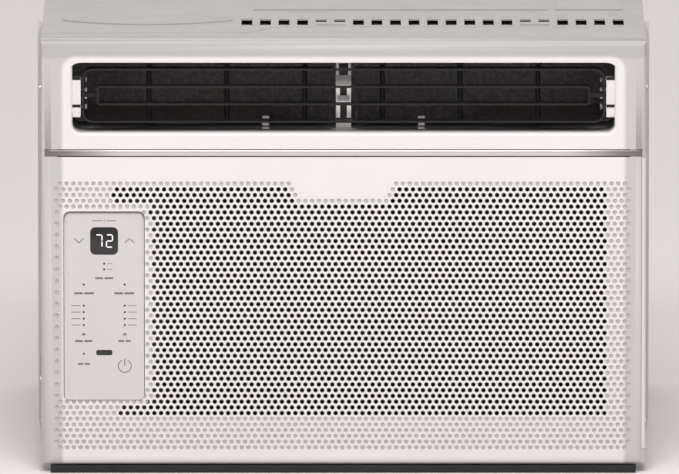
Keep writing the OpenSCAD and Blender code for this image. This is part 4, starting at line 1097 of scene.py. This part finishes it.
# The centre column's face: a white plate, with painted shade greying it where it is set back, black plates as
# painted shade in its window recesses, and dark blade slots
COLUMN_D = 14.9
column_set_back_shade = plain("column_set_back_shade", (0.34, 0.325, 0.325), 0.5)
column_parts = {
    "column_face": (panel_mat, [(-5.8, 5.8, 269.0, 325.2, 0.0)]),
    "column_steps": (column_set_back_shade, [
        (-5.6, 5.6, 303.6, 311.4, 0.1), (-4.6, 4.6, 291.0, 295.4, 0.1), (-5.8, 5.8, 269.0, 274.0, 0.1)]),
    "column_windows": (slots["black_plastic"], [
        (-3.6, 3.6, 311.4, 320.6, 0.2), (-2.7, 2.7, 295.4, 301.2, 0.2), (-2.6, 2.6, 278.0, 288.6, 0.2),
        (-5.8, 5.8, 301.4, 303.0, 0.2), (-5.8, 5.8, 288.2, 290.2, 0.2), (-5.8, 5.8, 273.8, 278.0, 0.2)]),
}
for name, (material, boxes) in column_parts.items():
    made = [block(x0, x1, COLUMN_D - lift, COLUMN_D + 0.3, z0, z1, 0.05) for x0, x1, z0, z1, lift in boxes]
    piece(name, join_meshes(name, made), material, "unit")

# The end brackets: two dark slits, above a foot that stays clear of the louver's frame
BRACKET_X0, BRACKET_X1 = 204.1, 210.4
slits, feet = [], []
for side in (-1, 1):
    a, b = sorted((side * BRACKET_X0, side * BRACKET_X1))
    slits += [block(a, b, 3.6, 4.3, z0, z1, 0.1) for z0, z1 in ((287.8, 290.0), (309.3, 311.7))]
    feet.append(block(a, b, 4.0, 10.0, 280.0, 284.2, 0.2))
piece("bracket_slits", join_meshes("bracket_slits", slits), slots["black_plastic"], "unit")
piece("bracket_feet", join_meshes("bracket_feet", feet), panel_mat, "unit")


def brow_mesh():
    """The outlet's upper lip: a crescent that narrows away round the opening's upper corners."""
    stations = []
    for i in range(9):
        a, b = math.pi / 2 * i / 8, math.pi / 2 * (8 - i) / 8
        stations.append(((-203.5 - 10.0 * math.cos(a), 315.0 + 8.4 * math.sin(a)),
                         (-204.5 - 9.0 * math.sin(b), 319.5 + 9.0 * math.cos(b))))
    stations += [((-low[0], low[1]), (-high[0], high[1])) for low, high in reversed(stations)]
    profile = [(1.0, 4.0), (1.0, 0.02), (0.14, 0.02), (0.04, 0.12), (0.0, 0.5), (0.0, 4.0)]
    points = []
    for low, high in stations:
        points += [P(low[0] + (high[0] - low[0]) * t, d, low[1] + (high[1] - low[1]) * t) for t, d in profile]
    n, last = len(profile), (len(stations) - 1) * len(profile)
    faces = [(i * n + j, i * n + (j + 1) % n, (i + 1) * n + (j + 1) % n, (i + 1) * n + j)
             for i in range(len(stations) - 1) for j in range(n)]
    faces += [tuple(range(n)), tuple(range(last, last + n))[::-1]]
    return recalc(mesh_from("outlet_brow", points, faces))


piece("outlet_brow", brow_mesh(), panel_mat, "unit")
# A near-black strip under the front panel, as painted shade in the gap beneath it.
piece("under_panel_shade_strip", block(-228.0, 227.5, 0.9, 2.4, 0.3, 5.9, 0.2), slots["black_rubber"],
      "unit")


# ---------------------------------------------------------------- cabinet's pressed lines
CAB_TOP = 339.0


def ridge(points2, width, height):
    """A low rounded rib along a line of (x, d) points on the cabinet's top."""
    loops = []
    for i, (x, d) in enumerate(points2):
        ax, ad = points2[max(i - 1, 0)]
        bx, bd = points2[min(i + 1, len(points2) - 1)]
        tx, td = bx - ax, bd - ad
        length = math.hypot(tx, td)
        ox, od = -td / length, tx / length
        loop = []
        for j in range(7):
            a = math.pi * j / 6
            s, h = -math.cos(a) * width / 2, math.sin(a) * height
            loop.append(P(x + ox * s, d + od * s, CAB_TOP - 0.05 + h))
        loops.append(loop)
    n = 7
    pts = [p for loop in loops for p in loop]
    faces = [(i * n + j, i * n + j + 1, (i + 1) * n + j + 1, (i + 1) * n + j)
             for i in range(len(loops) - 1) for j in range(n - 1)]
    faces += [tuple(range(n)), tuple(range((len(loops) - 1) * n, len(loops) * n))[::-1]]
    return recalc(mesh_from("ridge", pts, faces))


ribs = [
    ridge([(-219, 50), (-150, 50), (-80, 50), (-75, 51), (-71, 54), (-60, 72),
           (-56, 77), (-52, 80), (-30, 81), (100, 81), (219, 81)], 1.6, 0.6),
    ridge([(-233, 26), (-100, 26), (100, 26), (233, 26)], 1.8, 0.6),
]
piece("cabinet_ribs", join_meshes("cabinet_ribs", ribs), slots["cabinet_paint"],
      "unit", (), 60)


# ---------------------------------------------------------------- stage, lights and camera
def sheet_of_floor():
    size, depth = 9.0, 12.0
    points = [(-size, -size, 0), (size, -size, 0), (size, depth, 0), (-size, depth, 0)]
    return mesh_from("floor", [Vector(p) for p in points], [(0, 1, 2, 3)])


floor = bpy.data.objects.new("floor", sheet_of_floor())
bpy.context.scene.collection.objects.link(floor)
floor.data.materials.append(floor_paper("floor_paper"))


def soft_light(name, place, target, size, size_y, power, color=(1.0, 0.985, 0.975)):
    lamp_data = bpy.data.lights.new(name, "AREA")
    lamp_data.shape = "RECTANGLE"
    lamp_data.size, lamp_data.size_y = size, size_y
    lamp_data.energy = power
    lamp_data.color = color
    obj = bpy.data.objects.new(name, lamp_data)
    bpy.context.scene.collection.objects.link(obj)
    obj.location = place
    obj.rotation_mode = "QUATERNION"
    obj.rotation_quaternion = (Vector(target) - Vector(place)).to_track_quat("-Z", "Y")
    return obj


middle = (cad_low + cad_high) / 2
soft_light("key", (0.0, -1.45, 1.55), (0.0, FRONT, 0.24), 0.9, 0.6, 23.0)
soft_light("left_fill", (-2.2, -0.9, 1.0), tuple(middle), 1.4, 1.4, 6.7)
soft_light("right_fill", (2.2, -0.9, 1.0), tuple(middle), 1.4, 1.4, 6.7)
soft_light("overhead", (0.0, 0.3, 2.4), tuple(middle), 2.4, 2.4, 12.5)
soft_light("back_fill", (0.0, 2.4, 1.2), tuple(middle), 1.6, 1.2, 6.0)

world = bpy.data.worlds.new("studio")
bpy.context.scene.world = world
world.use_nodes = True
world.node_tree.nodes["Background"].inputs["Color"].default_value = (1.0, 0.985, 0.98, 1.0)
world.node_tree.nodes["Background"].inputs["Strength"].default_value = 0.5

ELEVATION = math.radians(9.58)
LENS, SENSOR, FRAME_W = 1000.0, 36.0, 0.5275
camera_data = bpy.data.cameras.new("camera")
camera_data.lens, camera_data.sensor_width = LENS, SENSOR
camera_data.clip_start, camera_data.clip_end = 0.1, 100.0
camera = bpy.data.objects.new("camera", camera_data)
bpy.context.scene.collection.objects.link(camera)
back = Vector((0.0, -math.cos(ELEVATION), math.sin(ELEVATION)))
camera.location = P(-3.1, 0.0, 186.4) + back * (LENS / SENSOR * FRAME_W)
camera.rotation_mode = "QUATERNION"
camera.rotation_quaternion = (-back).to_track_quat("-Z", "Y")
bpy.context.scene.camera = camera
bpy.context.scene.view_settings.view_transform = "Standard"
bpy.context.scene.view_settings.look = "None"
